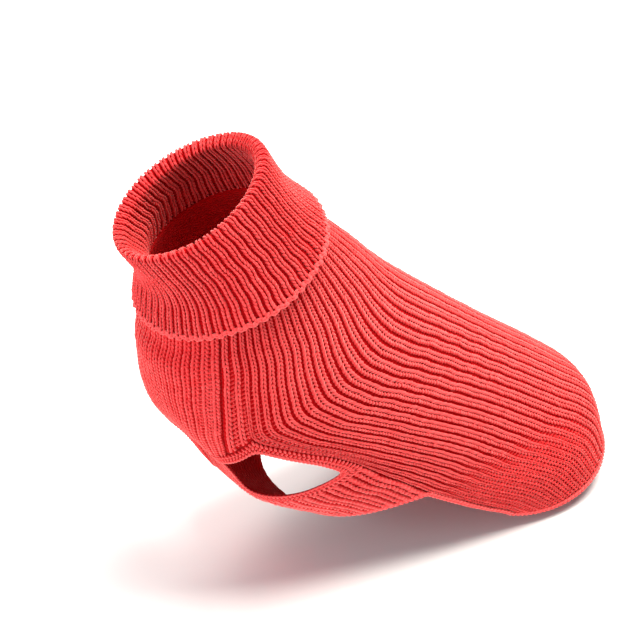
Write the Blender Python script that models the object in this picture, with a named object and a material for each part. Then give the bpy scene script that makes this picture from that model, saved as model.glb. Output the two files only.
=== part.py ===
"""Dog sweater: a hollow coat in bold knitted rib with a turned-down collar.

Sizes are metres, +Z is up, the wearer faces -X and its left side is -Y.  The
origin lies on the withers, on the back's middle line at the collar's free edge.

The body is one smooth tube through the rings of BODY_RINGS.  A place on it is
(along, turn): along runs from the neck seam, 0, towards the rear, and turn
goes round from the back's middle line, 0, by the left side to the belly's
middle line, 1, and on by the right side to 2.  Panels, ribs and bands are all
worked out as places on that tube, moved out along its normal.
"""

import math
from collections import namedtuple

import bmesh
import bpy
import numpy as np

MM = 0.001

# ---------------------------------------------------------------- the knit
SEAM_GAP = 0.3 * MM              # between two pieces sewn together
INNER_FACE = -1.3 * MM           # plain inside of a panel, from its middle surface
GROOVE_FACE = 0.7 * MM           # bottom of the grooves between ribs
BACK_RIB_RISE = 2.2 * MM         # crest of a back rib over its grooves
CHEST_RIB_RISE = 1.3 * MM
COLLAR_RIB_RISE = 1.5 * MM
SHOULDERS = (0.0, 0.3, 0.7)      # a back rib's groove and two shoulders, in its width
RIB_CROWDING = 0.15              # how much narrower the back's ribs get at its sides

# ---------------------------------------------------------------- the body tube
# Middle surface of the knit, ring by ring: the ring's point on the back's
# middle line, its point on the belly's middle line, its greatest half width,
# how far down from the back that is met (0 to 1), and how full the ring is on
# its back and belly sides (1 is an ellipse, less is squarer).  Then two turns on
# the left side: flow is where the back's outermost rib would lie if they were all
# spread evenly, and seam is the side seam.
Ring = namedtuple(
    "Ring",
    "back_x back_z belly_x belly_z half_width widest back_full belly_full flow seam",
)
BODY_RINGS = (
    Ring(-0.014, +0.006, -0.116, -0.036, 0.056, 0.50, 1.00, 1.00, 0.720, 0.720),
    Ring(+0.028, -0.032, -0.121, -0.089, 0.065, 0.55, 1.00, 0.88, 0.755, 0.755),
    Ring(+0.063, -0.067, -0.108, -0.143, 0.073, 0.55, 1.00, 0.75, 0.825, 0.815),
    Ring(+0.109, -0.105, -0.070, -0.197, 0.078, 0.55, 1.00, 0.80, 0.725, 0.900),
    Ring(+0.160, -0.145, -0.030, -0.226, 0.082, 0.55, 1.00, 0.88, 0.675, 0.980),
    Ring(+0.208, -0.181, +0.018, -0.250, 0.086, 0.55, 1.00, 0.90, 0.680, 0.980),
    Ring(+0.244, -0.213, +0.066, -0.266, 0.088, 0.55, 1.00, 0.90, 0.680, 0.980),
    Ring(+0.257, -0.254, +0.110, -0.286, 0.086, 0.55, 1.00, 0.90, 0.680, 0.980),
)
# Side of the back's uncut ribs on the left, place by place: down to the leg
# opening's front corner, back along the opening, then along the seam and free edge.
EDGE_PLACES = (
    (0.00, 0.662), (1.00, 0.692), (1.55, 0.722), (1.95, 0.742), (2.10, 0.714),
    (2.25, 0.689), (2.45, 0.659), (2.68, 0.627), (3.00, 0.605), (3.30, 0.604),
    (3.80, 0.608), (4.40, 0.617), (5.00, 0.622), (5.80, 0.640), (6.40, 0.632),
    (6.90, 0.604),
)
EDGE_FIT = 6                     # power by which outer ribs fall in with the edge

# Soft folds and hollows of the worn knit: the middle of each as a place, its
# direction (0 runs along the body, 90 round it), half its length and half its
# width, and its height (negative is a hollow).
Fold = namedtuple("Fold", "along turn degrees half_length half_width height")
FOLDS = (
    Fold(2.48, 1.00, 0, 0.026, 0.024, -0.0100),    # breastbone hollow between the legs
    Fold(0.62, 1.00, 90, 0.052, 0.007, -0.0018),   # crease under the collar's front
    Fold(0.92, 1.00, 90, 0.046, 0.010, +0.0014),   # soft roll under that crease
    Fold(2.75, 0.545, 12, 0.030, 0.010, +0.0016),  # waves behind the left leg opening
    Fold(3.05, 0.500, 10, 0.034, 0.009, -0.0012),
    Fold(3.60, 0.480, 4, 0.036, 0.012, +0.0012),
    Fold(2.70, 1.450, -11, 0.032, 0.010, +0.0015),  # and behind the right one
    Fold(3.15, 1.505, -8, 0.030, 0.010, -0.0012),
)
ALONG_TO_METRES = 0.055          # length of one step of along on the sides
TURN_TO_METRES = 0.215           # length of one unit of turn on the sides
HALF_GAP_TURN = SEAM_GAP / 2 / TURN_TO_METRES
COLLAR_SEAM_ALONG = SEAM_GAP / ALONG_TO_METRES

# Over the haunches the knit is stretched and its ribs lie lower: the middle of
# that region on the left side, its half sizes, and the share of the rise lost.
HAUNCH_ALONG, HAUNCH_TURN = 5.9, 0.50
HAUNCH_HALF_ALONG, HAUNCH_HALF_TURN = 0.95, 0.16
HAUNCH_FLATTENING = 0.55

# ---------------------------------------------------------------- the cut
# Rows of the grids: neck to leg opening, past it, down the rear seam, to the hem,
# and of the chest panel's strip between the two openings.
FRONT_ROWS, OPENING_ROWS, SEWN_ROWS, REAR_ROWS = 8, 6, 6, 10
STRIP_ROWS = 3
INNER_STEP = 2                   # rows of the plain inside are fewer, off the openings
OPENING_START = 1.95             # along: the opening's front corner on the back's ribs
OPENING_SEAM = 2.12              # along: its front edge at the side seam
OPENING_CHEST = 2.34             # along: its front edge at the chest's uncut ribs
OPENING_END = 3.14               # along: its rear edge
BELLY_HEM_SEAM = 4.40            # along: belly hem at the seam and at the middle
BELLY_HEM_MIDDLE = 4.20
HEM = 6.90                       # along: rear hem on the back's middle line
HEM_CORNER = 0.45                # how much shorter the hem is at its rounded corners
HEM_CORNER_POWER, HEM_CORNER_START = 6, 10
HEM_TIP = 0.11                   # and how much more at the very corner
HEM_TIP_POWER, HEM_TIP_START = 40, 14
ROW_BEND = 1.5                   # how late the rows bend to the opening's front edge
BELLY_HEM_POWER = 4              # how near the seams the belly hem drops back

BACK_RIBS_HALF = 24              # of the back panel, from its middle line to a seam
BACK_RIBS_UNCUT = 22             # of those, not ended by the leg opening
BACK_INNER_STEP = 6
CHEST_RIBS_HALF = 8              # of the chest before the openings
CHEST_RIBS_UNCUT = 3             # of those, running on between the legs
BELLY_RIBS_HALF = 12             # behind the openings
CUT_INNER_STEP, CHEST_INNER_STEP = 2, 3
# Half width of the chest's uncut ribs in turn, by along from 0 in whole steps.
CHEST_UNCUT_TURN = ((0.104,), (0.088,), (0.066,), (0.056,), (0.088,), (0.094,))

BAND_INNER_SHARE = 0.80          # inner border of a leg band, of its outer one
BAND_FACES = (-1.3 * MM, 1.5 * MM)
BAND_CROWN = 0.6 * MM            # extra height along the band's middle
BAND_SMOOTHING = 2               # rounds of smoothing of its inner border

# ---------------------------------------------------------------- the collar
# Middle surfaces of its turned-down outer layer, from free edge to fold, and of
# its stand, from neck seam to fold: each ring's foremost and rearmost points
# and its half width.
CollarRing = namedtuple("CollarRing", "front_x front_z back_x back_z half_width")
OUTER_RINGS = (
    CollarRing(-0.122, -0.058, +0.001, +0.004, 0.069),
    CollarRing(-0.122, -0.030, -0.023, +0.027, 0.059),
    CollarRing(-0.141, +0.001, -0.040, +0.055, 0.047),
)
STAND_RINGS = (
    CollarRing(-0.1162, -0.0358, -0.0141, +0.0062, 0.056),
    CollarRing(-0.117, -0.019, -0.028, +0.029, 0.0505),
    CollarRing(-0.134, -0.001, -0.045, +0.0485, 0.0405),
)
COLLAR_RIBS = 56                 # all round
COLLAR_INNER_COLUMNS = 28
COLLAR_FACE = 1.2 * MM           # half the wall of either layer
OUTER_LEVELS = 6                 # rows of points up the outer layer
INNER_LEVELS = 4                 # and up each plain face
FOLD_RISE = 3.0 * MM             # of the fold's crest over the tops of the layers
FOLD_HOLLOW = 0.6 * MM           # of the empty bend inside the fold, over them
FOLD_DEGREES = (45, 90, 135)     # rows of points over the fold

OUTLINE_POINTS = 72              # samples of half a ring, for measuring along it
NORMAL_STEP_ALONG = 0.02
NORMAL_STEP_TURN = 0.01

CORAL = (0.76, 0.055, 0.050, 1.0)
KNIT_ROUGHNESS = 0.9


def smooth_table(rows, along):
    """Values of a table of rows at the places in along, through a smooth spline."""
    table = np.array(rows, float)
    last = len(table) - 1
    padded = np.vstack([2 * table[0] - table[1], table, 2 * table[-1] - table[-2]])
    place = np.clip(along, 0.0, last)
    low = np.minimum(np.floor(place).astype(int), last - 1)
    part = (np.asarray(along, float) - low)[..., None]
    before, start, end, after = (padded[low + k] for k in range(4))
    slope_start, slope_end = (end - before) / 2, (after - start) / 2
    return (
        start * (2 * part**3 - 3 * part**2 + 1)
        + slope_start * (part**3 - 2 * part**2 + part)
        + end * (3 * part**2 - 2 * part**3)
        + slope_end * (part**3 - part**2)
    )


def body_points(along, turn):
    """Points of the body tube's middle surface at places (along, turn)."""
    along, turn = np.broadcast_arrays(np.asarray(along, float), np.asarray(turn, float))
    shape = along.shape
    ring = Ring(*np.moveaxis(smooth_table(BODY_RINGS, along.ravel()), -1, 0)[:, :, None])
    lap = np.mod(turn.ravel(), 2.0)
    side = np.where(lap > 1.0, 1.0, -1.0)
    share = np.where(lap > 1.0, 2.0 - lap, lap)

    angle = np.linspace(0.0, math.pi, OUTLINE_POINTS)[None, :]
    full = np.where(np.cos(angle) > 0, ring.back_full, ring.belly_full)
    down = np.where(
        np.cos(angle) > 0,
        ring.widest * (1 - np.abs(np.cos(angle)) ** full),
        ring.widest + (1 - ring.widest) * np.abs(np.cos(angle)) ** full,
    )
    out = ring.half_width * np.abs(np.sin(angle)) ** full
    x = ring.back_x + (ring.belly_x - ring.back_x) * down
    z = ring.back_z + (ring.belly_z - ring.back_z) * down
    step = np.sqrt(np.diff(x) ** 2 + np.diff(z) ** 2 + np.diff(out) ** 2)
    length = np.concatenate([np.zeros((len(x), 1)), np.cumsum(step, axis=1)], axis=1)
    wanted = share * length[:, -1]
    index = np.clip((length <= wanted[:, None]).sum(axis=1) - 1, 0, OUTLINE_POINTS - 2)
    row = np.arange(len(x))
    span = length[row, index + 1] - length[row, index]
    part = (wanted - length[row, index]) / span

    def between(values):
        return values[row, index] * (1 - part) + values[row, index + 1] * part

    points = np.stack([between(x), side * between(out), between(z)], axis=-1)
    return points.reshape(shape + (3,))


def body_normals(along, turn):
    """Outward unit normals of the body tube at places (along, turn)."""
    ahead = body_points(np.asarray(along) + NORMAL_STEP_ALONG, turn)
    behind = body_points(np.asarray(along) - NORMAL_STEP_ALONG, turn)
    onward = body_points(along, np.asarray(turn) + NORMAL_STEP_TURN)
    back = body_points(along, np.asarray(turn) - NORMAL_STEP_TURN)
    normal = np.cross(onward - back, ahead - behind)
    return normal / np.linalg.norm(normal, axis=-1, keepdims=True)


def ring_turn(name, along):
    """A turn of the ring table, "flow" or "seam", at the places in along."""
    return smooth_table(BODY_RINGS, along)[..., Ring._fields.index(name)]


def edge_turn(along):
    """Turn of the side of the back's uncut ribs at the places in along."""
    return np.interp(along, *np.array(EDGE_PLACES).T)


def fold_height(along, turn):
    """Height of the soft folds over the body tube at places (along, turn)."""
    height = np.zeros(np.shape(along))
    for fold in FOLDS:
        lengthwise = (along - fold.along) * ALONG_TO_METRES
        round_body = (np.mod(turn, 2.0) - fold.turn) * TURN_TO_METRES
        angle = math.radians(fold.degrees)
        down_fold = lengthwise * math.cos(angle) + round_body * math.sin(angle)
        across = round_body * math.cos(angle) - lengthwise * math.sin(angle)
        reach = (down_fold / fold.half_length) ** 2 + (across / fold.half_width) ** 2
        height = height + fold.height * np.exp(-reach)
    return height


def knit_points(along, turn, height):
    """Points at a height over the folded middle surface at places (along, turn)."""
    along, turn = np.asarray(along, float), np.asarray(turn, float)
    lift = (fold_height(along, turn) + height)[..., None]
    return body_points(along, turn) + body_normals(along, turn) * lift


# ---------------------------------------------------------------- the walls
class Wall:
    """Points and faces of one closed wall: a fine outer face and a coarse inner one."""

    def __init__(self):
        self.points = []
        self.faces = []
        self.number = {}

    def add_points(self, side, keys, positions):
        """Add points and remember each one's number under its side and key."""
        for key, position in zip(keys, positions):
            self.number[side, key] = len(self.points)
            self.points.append(tuple(position))

    def add_patch(self, side, rows):
        """Face a grid of keys given row by row and return its directed edges."""
        edges = []
        for upper, lower in zip(rows[:-1], rows[1:]):
            for k in range(len(upper) - 1):
                quad = (upper[k], upper[k + 1], lower[k + 1], lower[k])
                edges += [(quad[n], quad[(n + 1) % 4]) for n in range(4)]
                corners = [self.number[side, key] for key in quad]
                self.faces.append(tuple(corners if side == "outer" else reversed(corners)))
        return edges

    def join_edges(self, outer_edges, inner_edges):
        """Close the wall between the free edges of its two faces.

        Every free point of the inner face has the key of a free outer one.
        """
        outer_next = free_edges(outer_edges)
        for start, end in free_edges(inner_edges).items():
            path = [start]
            while path[-1] != end:
                path.append(outer_next[path[-1]])
            near, far = self.number["inner", start], self.number["inner", end]
            fine = [self.number["outer", key] for key in path]
            middle = len(fine) // 2
            for k in range(len(fine) - 1):
                self.faces.append((fine[k + 1], fine[k], near if k < middle else far))
            self.faces.append((near, far, fine[middle]))


def free_edges(edges):
    """Directed edges that no other face shares, as a map from start to end."""
    known = set(edges)
    return {start: end for start, end in edges if (end, start) not in known}


def back_rows():
    """Along of each row of the back's uncut ribs."""
    stops = (0.0, OPENING_START, OPENING_END, BELLY_HEM_SEAM, HEM)
    counts = (FRONT_ROWS, OPENING_ROWS, SEWN_ROWS, REAR_ROWS)
    rows = [0.0]
    for start, stop, count in zip(stops[:-1], stops[1:], counts):
        rows += [start + (stop - start) * (k + 1) / count for k in range(count)]
    return rows


def bent_row(along, extra):
    """Along of a front row where the opening's front edge lies extra further on."""
    return along + extra * (along / OPENING_START) ** ROW_BEND


def back_place(row, column):
    """Place of a grid point of the back panel; three columns make a rib."""
    rib = abs(column) // len(SHOULDERS) + SHOULDERS[abs(column) % len(SHOULDERS)]
    along = back_rows()[row]
    if rib <= BACK_RIBS_UNCUT:
        across = rib / BACK_RIBS_UNCUT
        corner = HEM_CORNER * across**HEM_CORNER_POWER * (along / HEM) ** HEM_CORNER_START
        tip = HEM_TIP * across**HEM_TIP_POWER * (along / HEM) ** HEM_TIP_START
        along = along - corner - tip
        sewn = 0 <= row - FRONT_ROWS - OPENING_ROWS <= SEWN_ROWS
        edge = edge_turn(along) - (HALF_GAP_TURN if sewn else 0.0)
        even = ring_turn("flow", along) * BACK_RIBS_UNCUT / BACK_RIBS_HALF
        turn = even * across * (1 + RIB_CROWDING * (1 - across**2))
        turn += (edge - even) * across**EDGE_FIT
    else:
        past = (rib - BACK_RIBS_UNCUT) / (BACK_RIBS_HALF - BACK_RIBS_UNCUT)
        start = edge_turn(along)
        along = bent_row(along, (OPENING_SEAM - OPENING_START) * past)
        turn = start + (ring_turn("seam", along) - HALF_GAP_TURN - start) * past
    return along, math.copysign(turn, column)


def chest_place(row, column):
    """Place of a grid point of the chest panel; two columns make a rib.

    Its rows run from the neck to the leg openings, down the strip between them
    and on over the belly, where it has more ribs again.
    """
    rib = abs(column) / 2
    belly_start = FRONT_ROWS + STRIP_ROWS
    if row <= FRONT_ROWS:
        past = max(rib - CHEST_RIBS_UNCUT, 0.0) / (CHEST_RIBS_HALF - CHEST_RIBS_UNCUT)
        end = OPENING_CHEST + (OPENING_SEAM - OPENING_CHEST) * past
        along = bent_row(back_rows()[row], end - OPENING_START)
        side = 1.0 - ring_turn("seam", along) - HALF_GAP_TURN
    elif row < belly_start:
        past = side = 0.0
        step = (row - FRONT_ROWS) / STRIP_ROWS
        along = OPENING_CHEST + (OPENING_END - OPENING_CHEST) * step
    else:
        past = max(rib - CHEST_RIBS_UNCUT, 0.0) / (BELLY_RIBS_HALF - CHEST_RIBS_UNCUT)
        hem = BELLY_HEM_MIDDLE + (BELLY_HEM_SEAM - BELLY_HEM_MIDDLE) * past**BELLY_HEM_POWER
        along = OPENING_END + (hem - OPENING_END) * (row - belly_start) / SEWN_ROWS
        side = 1.0 - edge_turn(along) - HALF_GAP_TURN
    uncut = smooth_table(CHEST_UNCUT_TURN, along)[..., 0]
    offset = uncut * min(rib / CHEST_RIBS_UNCUT, 1.0) + (side - uncut) * past
    return along, 1.0 + math.copysign(offset, column)


def span(first, last, step=1):
    """Whole numbers from first to last, both included."""
    return list(range(first, last + 1, step))


def grid(rows, columns):
    """Keys of a grid of points, row by row."""
    return [[(row, column) for column in columns] for row in rows]


def inner_rows(opening_rows, last):
    """Rows of a plain inside: every one along the opening, fewer before and after."""
    end = FRONT_ROWS + opening_rows
    ahead, behind = span(0, FRONT_ROWS, INNER_STEP), span(end, last, INNER_STEP)
    return ahead + span(FRONT_ROWS + 1, end - 1) + behind


def panel_wall(place, outer_patches, inner_patches, outer_height):
    """Wall of a panel whose two faces are patches of grid points at their places."""
    wall = Wall()
    edges = {}
    for side, patches in (("outer", outer_patches), ("inner", inner_patches)):
        keys = list(dict.fromkeys(key for patch in patches for row in patch for key in row))
        along, turn = np.array([place(*key) for key in keys]).T
        if side == "outer":
            columns = np.array([column for _, column in keys])
            height = outer_height(along, turn, columns)
        else:
            height = INNER_FACE
        wall.add_points(side, keys, knit_points(along, turn, height))
        edges[side] = [edge for patch in patches for edge in wall.add_patch(side, patch)]
    wall.join_edges(edges["outer"], edges["inner"])
    return wall


def back_height(along, turn, columns):
    """Outer height of the back panel: broad ribs, lower over the haunches."""
    side = 1.0 - np.abs(1.0 - np.mod(turn, 2.0))
    reach = ((along - HAUNCH_ALONG) / HAUNCH_HALF_ALONG) ** 2
    reach = reach + ((side - HAUNCH_TURN) / HAUNCH_HALF_TURN) ** 2
    rise = BACK_RIB_RISE * (1.0 - HAUNCH_FLATTENING * np.exp(-reach))
    return GROOVE_FACE + rise * (columns % len(SHOULDERS) != 0)


def chest_height(along, turn, columns):
    """Outer height of the chest panel: narrow ribs of two points each."""
    return GROOVE_FACE + CHEST_RIB_RISE * (columns % 2)


def back_panel():
    """Wall of the back panel, from side seam to side seam over the back."""
    points = len(SHOULDERS)
    seam, edge = BACK_RIBS_HALF * points, BACK_RIBS_UNCUT * points
    last = FRONT_ROWS + OPENING_ROWS + SEWN_ROWS + REAR_ROWS
    outer = [
        grid(span(0, FRONT_ROWS), span(-seam, -edge)),
        grid(span(0, last), span(-edge, edge)),
        grid(span(0, FRONT_ROWS), span(edge, seam)),
    ]
    front = span(0, FRONT_ROWS, INNER_STEP)
    inner = [
        grid(front, span(-seam, -edge, CUT_INNER_STEP)),
        grid(inner_rows(OPENING_ROWS, last), span(-edge, edge, BACK_INNER_STEP)),
        grid(front, span(edge, seam, CUT_INNER_STEP)),
    ]
    return panel_wall(back_place, outer, inner, back_height)


def chest_panel():
    """Wall of the chest panel, with its strip and its belly part."""
    uncut, seam, belly = 2 * CHEST_RIBS_UNCUT, 2 * CHEST_RIBS_HALF, 2 * BELLY_RIBS_HALF
    start = FRONT_ROWS + STRIP_ROWS
    last = start + SEWN_ROWS
    outer = [
        grid(span(0, FRONT_ROWS), span(-seam, seam)),
        grid(span(FRONT_ROWS, start), span(-uncut, uncut)),
        grid(span(start, last), span(-belly, belly)),
    ]
    middle = span(-uncut, uncut, CHEST_INNER_STEP)
    cut = span(uncut + CUT_INNER_STEP, seam, CUT_INNER_STEP)
    inner = [
        grid(span(0, FRONT_ROWS, INNER_STEP), [-column for column in cut[::-1]] + middle + cut),
        grid(span(FRONT_ROWS, start), middle),
        grid(span(start, last, INNER_STEP), span(-belly, belly, CHEST_INNER_STEP)),
    ]
    return panel_wall(chest_place, outer, inner, chest_height)


def opening_places():
    """Places round the left leg opening, along the edges of the two panels."""
    edge, seam = BACK_RIBS_UNCUT * len(SHOULDERS), BACK_RIBS_HALF * len(SHOULDERS)
    uncut, chest, belly = 2 * CHEST_RIBS_UNCUT, 2 * CHEST_RIBS_HALF, 2 * BELLY_RIBS_HALF
    start, strip_end = FRONT_ROWS, FRONT_ROWS + STRIP_ROWS
    places = [back_place(row, edge) for row in span(start, start + OPENING_ROWS)][::-1]
    places += [back_place(start, column) for column in span(edge + 1, seam)]
    places += [chest_place(start, -column) for column in span(uncut, chest - 1)][::-1]
    places += [chest_place(row, -uncut) for row in span(start + 1, strip_end)]
    places += [chest_place(strip_end, -column) for column in span(uncut + 1, belly - 1)]
    return np.array(places)


def leg_band(on_right):
    """Wall of the knitted band that lines one leg opening."""
    places = opening_places()
    centre = places.mean(axis=0)
    inner = centre + (places - centre) * BAND_INNER_SHARE
    for _ in range(BAND_SMOOTHING):
        inner = (np.roll(inner, 1, axis=0) + 2 * inner + np.roll(inner, -1, axis=0)) / 4
    if on_right:
        places[:, 1], inner[:, 1] = 2 - places[:, 1], 2 - inner[:, 1]

    border = knit_points(places[:, 0], places[:, 1], 0.0)
    normal = body_normals(places[:, 0], places[:, 1])
    ahead = np.roll(border, -1, axis=0) - border
    inward = np.cross(ahead, normal)
    inward *= np.sign(np.sum(inward * (border.mean(axis=0) - border), axis=1).sum())
    inward /= np.linalg.norm(inward, axis=1, keepdims=True)
    before = np.roll(inward, 1, axis=0)
    mitre = (inward + before) / (1 + np.sum(inward * before, axis=1, keepdims=True))
    inner_points = knit_points(inner[:, 0], inner[:, 1], 0.0)
    inner_normal = body_normals(inner[:, 0], inner[:, 1])
    outer_points = border + mitre * SEAM_GAP
    middle, low, high = (outer_points + inner_points) / 2, *BAND_FACES
    rings = np.stack([
        outer_points + normal * low,
        outer_points + normal * high,
        middle + normal * (high + BAND_CROWN),
        inner_points + inner_normal * high,
        inner_points + inner_normal * low,
        middle + normal * low,
    ])
    wall = Wall()
    wall.points = [tuple(point) for point in rings.reshape(-1, 3)]
    stations = len(places)
    for ring in range(len(rings)):
        for k in range(stations):
            here, there = ring * stations, (ring + 1) % len(rings) * stations
            follow = (k + 1) % stations
            wall.faces.append((here + k, here + follow, there + follow, there + k))
    return wall


def collar_surface(rings, share, turn):
    """Points, outward normals and upward directions of one layer of the collar."""

    def points(share, turn):
        ring = CollarRing(*np.moveaxis(smooth_table(rings, share * (len(rings) - 1)), -1, 0))
        middle_x, middle_z = (ring.front_x + ring.back_x) / 2, (ring.front_z + ring.back_z) / 2
        reach = np.cos(turn * math.pi) / 2
        return np.stack([
            middle_x + (ring.back_x - ring.front_x) * reach,
            -np.sin(turn * math.pi) * ring.half_width,
            middle_z + (ring.back_z - ring.front_z) * reach,
        ], axis=-1)

    step = NORMAL_STEP_TURN
    up = points(share + step, turn) - points(share - step, turn)
    outward = np.cross(up, points(share, turn + step) - points(share, turn - step))
    up = up / np.linalg.norm(up, axis=-1, keepdims=True)
    outward = outward / np.linalg.norm(outward, axis=-1, keepdims=True)
    return points(share, turn), outward, up


def collar():
    """Wall of the collar: ribbed outer layer and fold, plain lining side and stand."""
    columns = 2 * COLLAR_RIBS
    step = columns // COLLAR_INNER_COLUMNS
    fine, coarse = np.arange(columns), np.arange(0, columns, step)

    def layer(rings, share, column, height):
        turn = column * 2.0 / columns
        middle, outward, _ = collar_surface(rings, np.full(len(column), share), turn)
        return middle + outward * np.broadcast_to(height, len(column))[:, None]

    def fold(column, degrees, face, rise):
        turn, top = column * 2.0 / columns, np.ones(len(column))
        outer, _, outer_up = collar_surface(OUTER_RINGS, top, turn)
        stand, _, stand_up = collar_surface(STAND_RINGS, top, turn)
        apart = (outer - stand) / 2
        reach = np.linalg.norm(apart, axis=1, keepdims=True)
        up = (outer_up + stand_up) / np.linalg.norm(outer_up + stand_up, axis=1, keepdims=True)
        face, rise = (np.broadcast_to(v, len(column))[:, None] for v in (face, rise))
        angle = math.radians(degrees)
        return (
            (outer + stand) / 2
            + apart * (1 + face / reach) * math.cos(angle)
            + up * rise * math.sin(angle)
        )

    rib = COLLAR_RIB_RISE * (fine % 2)
    outer_rows = [
        layer(OUTER_RINGS, level / (OUTER_LEVELS - 1), fine, COLLAR_FACE + rib)
        for level in range(OUTER_LEVELS)
    ]
    outer_rows += [
        fold(fine, degrees, COLLAR_FACE + rib, FOLD_RISE + rib) for degrees in FOLD_DEGREES
    ]
    climb = [level / (INNER_LEVELS - 1) for level in range(INNER_LEVELS)]
    inner_rows = [layer(OUTER_RINGS, share, coarse, -COLLAR_FACE) for share in climb]
    inner_rows.append(fold(coarse, 90, -COLLAR_FACE, FOLD_HOLLOW))
    inner_rows += [layer(STAND_RINGS, share, coarse, COLLAR_FACE) for share in climb[:0:-1]]
    turn = coarse * 2.0 / columns
    seam, outward = body_points(-COLLAR_SEAM_ALONG, turn), body_normals(0.0, turn)
    inner_rows += [seam + outward * COLLAR_FACE, seam - outward * COLLAR_FACE]
    inner_rows += [layer(STAND_RINGS, share, coarse, -COLLAR_FACE) for share in climb[1:]]

    wall = Wall()
    edges = {}
    for side, rows, numbers in (("outer", outer_rows, fine), ("inner", inner_rows, coarse)):
        labels = list(range(len(rows)))
        labels[-1] = "fold"
        keys = [[(label, int(column)) for column in numbers] for label in labels]
        for row_keys, row in zip(keys, rows):
            wall.add_points(side, row_keys, row)
        edges[side] = wall.add_patch(side, [row_keys + row_keys[:1] for row_keys in keys])
    wall.join_edges(edges["outer"], edges["inner"])
    return wall


def knit_material(name):
    """Coral red knitted yarn."""
    material = bpy.data.materials.new(name)
    material.use_nodes = True
    shader = material.node_tree.nodes["Principled BSDF"]
    shader.inputs["Base Color"].default_value = CORAL
    shader.inputs["Roughness"].default_value = KNIT_ROUGHNESS
    material.diffuse_color = CORAL
    return material


def add_piece(name, wall):
    """Make one object of a closed wall, in its own material."""
    mesh = bpy.data.meshes.new(name)
    mesh.from_pydata(wall.points, [], wall.faces)
    mesh.update()
    turned = bmesh.new()
    turned.from_mesh(mesh)
    bmesh.ops.triangulate(turned, faces=turned.faces)
    bmesh.ops.recalc_face_normals(turned, faces=turned.faces)
    turned.to_mesh(mesh)
    turned.free()
    mesh.polygons.foreach_set("use_smooth", [True] * len(mesh.polygons))
    mesh.materials.append(knit_material(name + "_yarn"))
    piece = bpy.data.objects.new(name, mesh)
    bpy.context.scene.collection.objects.link(piece)
    return piece


def main():
    """Build the five pieces of the sweater."""
    for old in list(bpy.data.objects):
        bpy.data.objects.remove(old, do_unlink=True)
    add_piece("back_panel", back_panel())
    add_piece("chest_panel", chest_panel())
    add_piece("collar", collar())
    add_piece("leg_band_left", leg_band(on_right=False))
    add_piece("leg_band_right", leg_band(on_right=True))


main()
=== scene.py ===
"""Dog sweater in bold rib knit: its cloth, stitches and yarn, with light and camera.

Sizes are metres, +Z is up, the wearer faces -X and its left side is -Y.  The
origin lies on the withers.  Each knitted piece is a thin closed cloth with its
stitches laid on it, loop by loop, along the ribs.

A place on the body is (along, turn): along runs from the neck seam, 0, towards
the rear, and turn goes round from the back's middle line, 0, by the left side
to the belly's middle line, 1, and on by the right side to 2.
"""

from __future__ import annotations

import logging
import math
from dataclasses import astuple, dataclass, field
from enum import Enum
from typing import Any, Callable, ClassVar, NamedTuple

import bpy
import numpy as np
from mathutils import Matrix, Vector

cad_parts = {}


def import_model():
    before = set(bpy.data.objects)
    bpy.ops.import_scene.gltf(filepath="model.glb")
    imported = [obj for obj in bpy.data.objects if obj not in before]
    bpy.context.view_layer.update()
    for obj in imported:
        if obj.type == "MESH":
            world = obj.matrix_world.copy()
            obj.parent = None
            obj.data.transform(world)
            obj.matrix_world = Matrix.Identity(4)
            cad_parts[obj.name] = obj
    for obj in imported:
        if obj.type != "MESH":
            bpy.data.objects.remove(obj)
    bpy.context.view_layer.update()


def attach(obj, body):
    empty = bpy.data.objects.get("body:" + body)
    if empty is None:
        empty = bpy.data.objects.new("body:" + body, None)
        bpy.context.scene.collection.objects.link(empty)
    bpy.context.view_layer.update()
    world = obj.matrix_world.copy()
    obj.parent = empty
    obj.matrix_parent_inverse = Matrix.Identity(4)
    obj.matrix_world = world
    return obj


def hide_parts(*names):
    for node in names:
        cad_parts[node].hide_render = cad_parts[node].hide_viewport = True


LOG = logging.getLogger("sweater")
MM = 0.001
SEED = 11

Array = np.ndarray
Pair = tuple[Array, Array]
Colour = tuple[float, float, float, float]
Triple = tuple[float, float, float]

# ------------------------------------------------------------------ the body's form


class Side(Enum):
    """A side of the wearer, with the sign of the back's rib numbers on it."""

    LEFT = 1
    RIGHT = -1


class Held(Enum):
    """How a cloth is held."""

    STRETCHED = "stretched"
    FOLDED = "folded"


class Ring(NamedTuple):
    """One ring of the body: back and belly points, width, fullness, rib turns."""

    back_x: float
    back_z: float
    belly_x: float
    belly_z: float
    half_width: float
    widest: float
    back_full: float
    belly_full: float
    flow: float
    seam: float


class Fold(NamedTuple):
    """A soft fold or hollow: its place, direction, half sizes and height."""

    along: float
    turn: float
    degrees: float
    half_length: float
    half_width: float
    height: float


class CollarRing(NamedTuple):
    """One ring of a collar layer: foremost and rearmost points and half width."""

    front_x: float
    front_z: float
    back_x: float
    back_z: float
    half_width: float


class Wave(NamedTuple):
    """A wave round the collar: its height, how often it goes round, slant and start."""

    height: float
    around: int
    slant: float
    start: float

    def at(self, first: Array, turn: Array) -> Array:
        """Height of the wave at places (first, turn)."""
        angle = self.around * (turn * math.pi) + self.slant * first + self.start
        return self.height * np.sin(angle)


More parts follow.
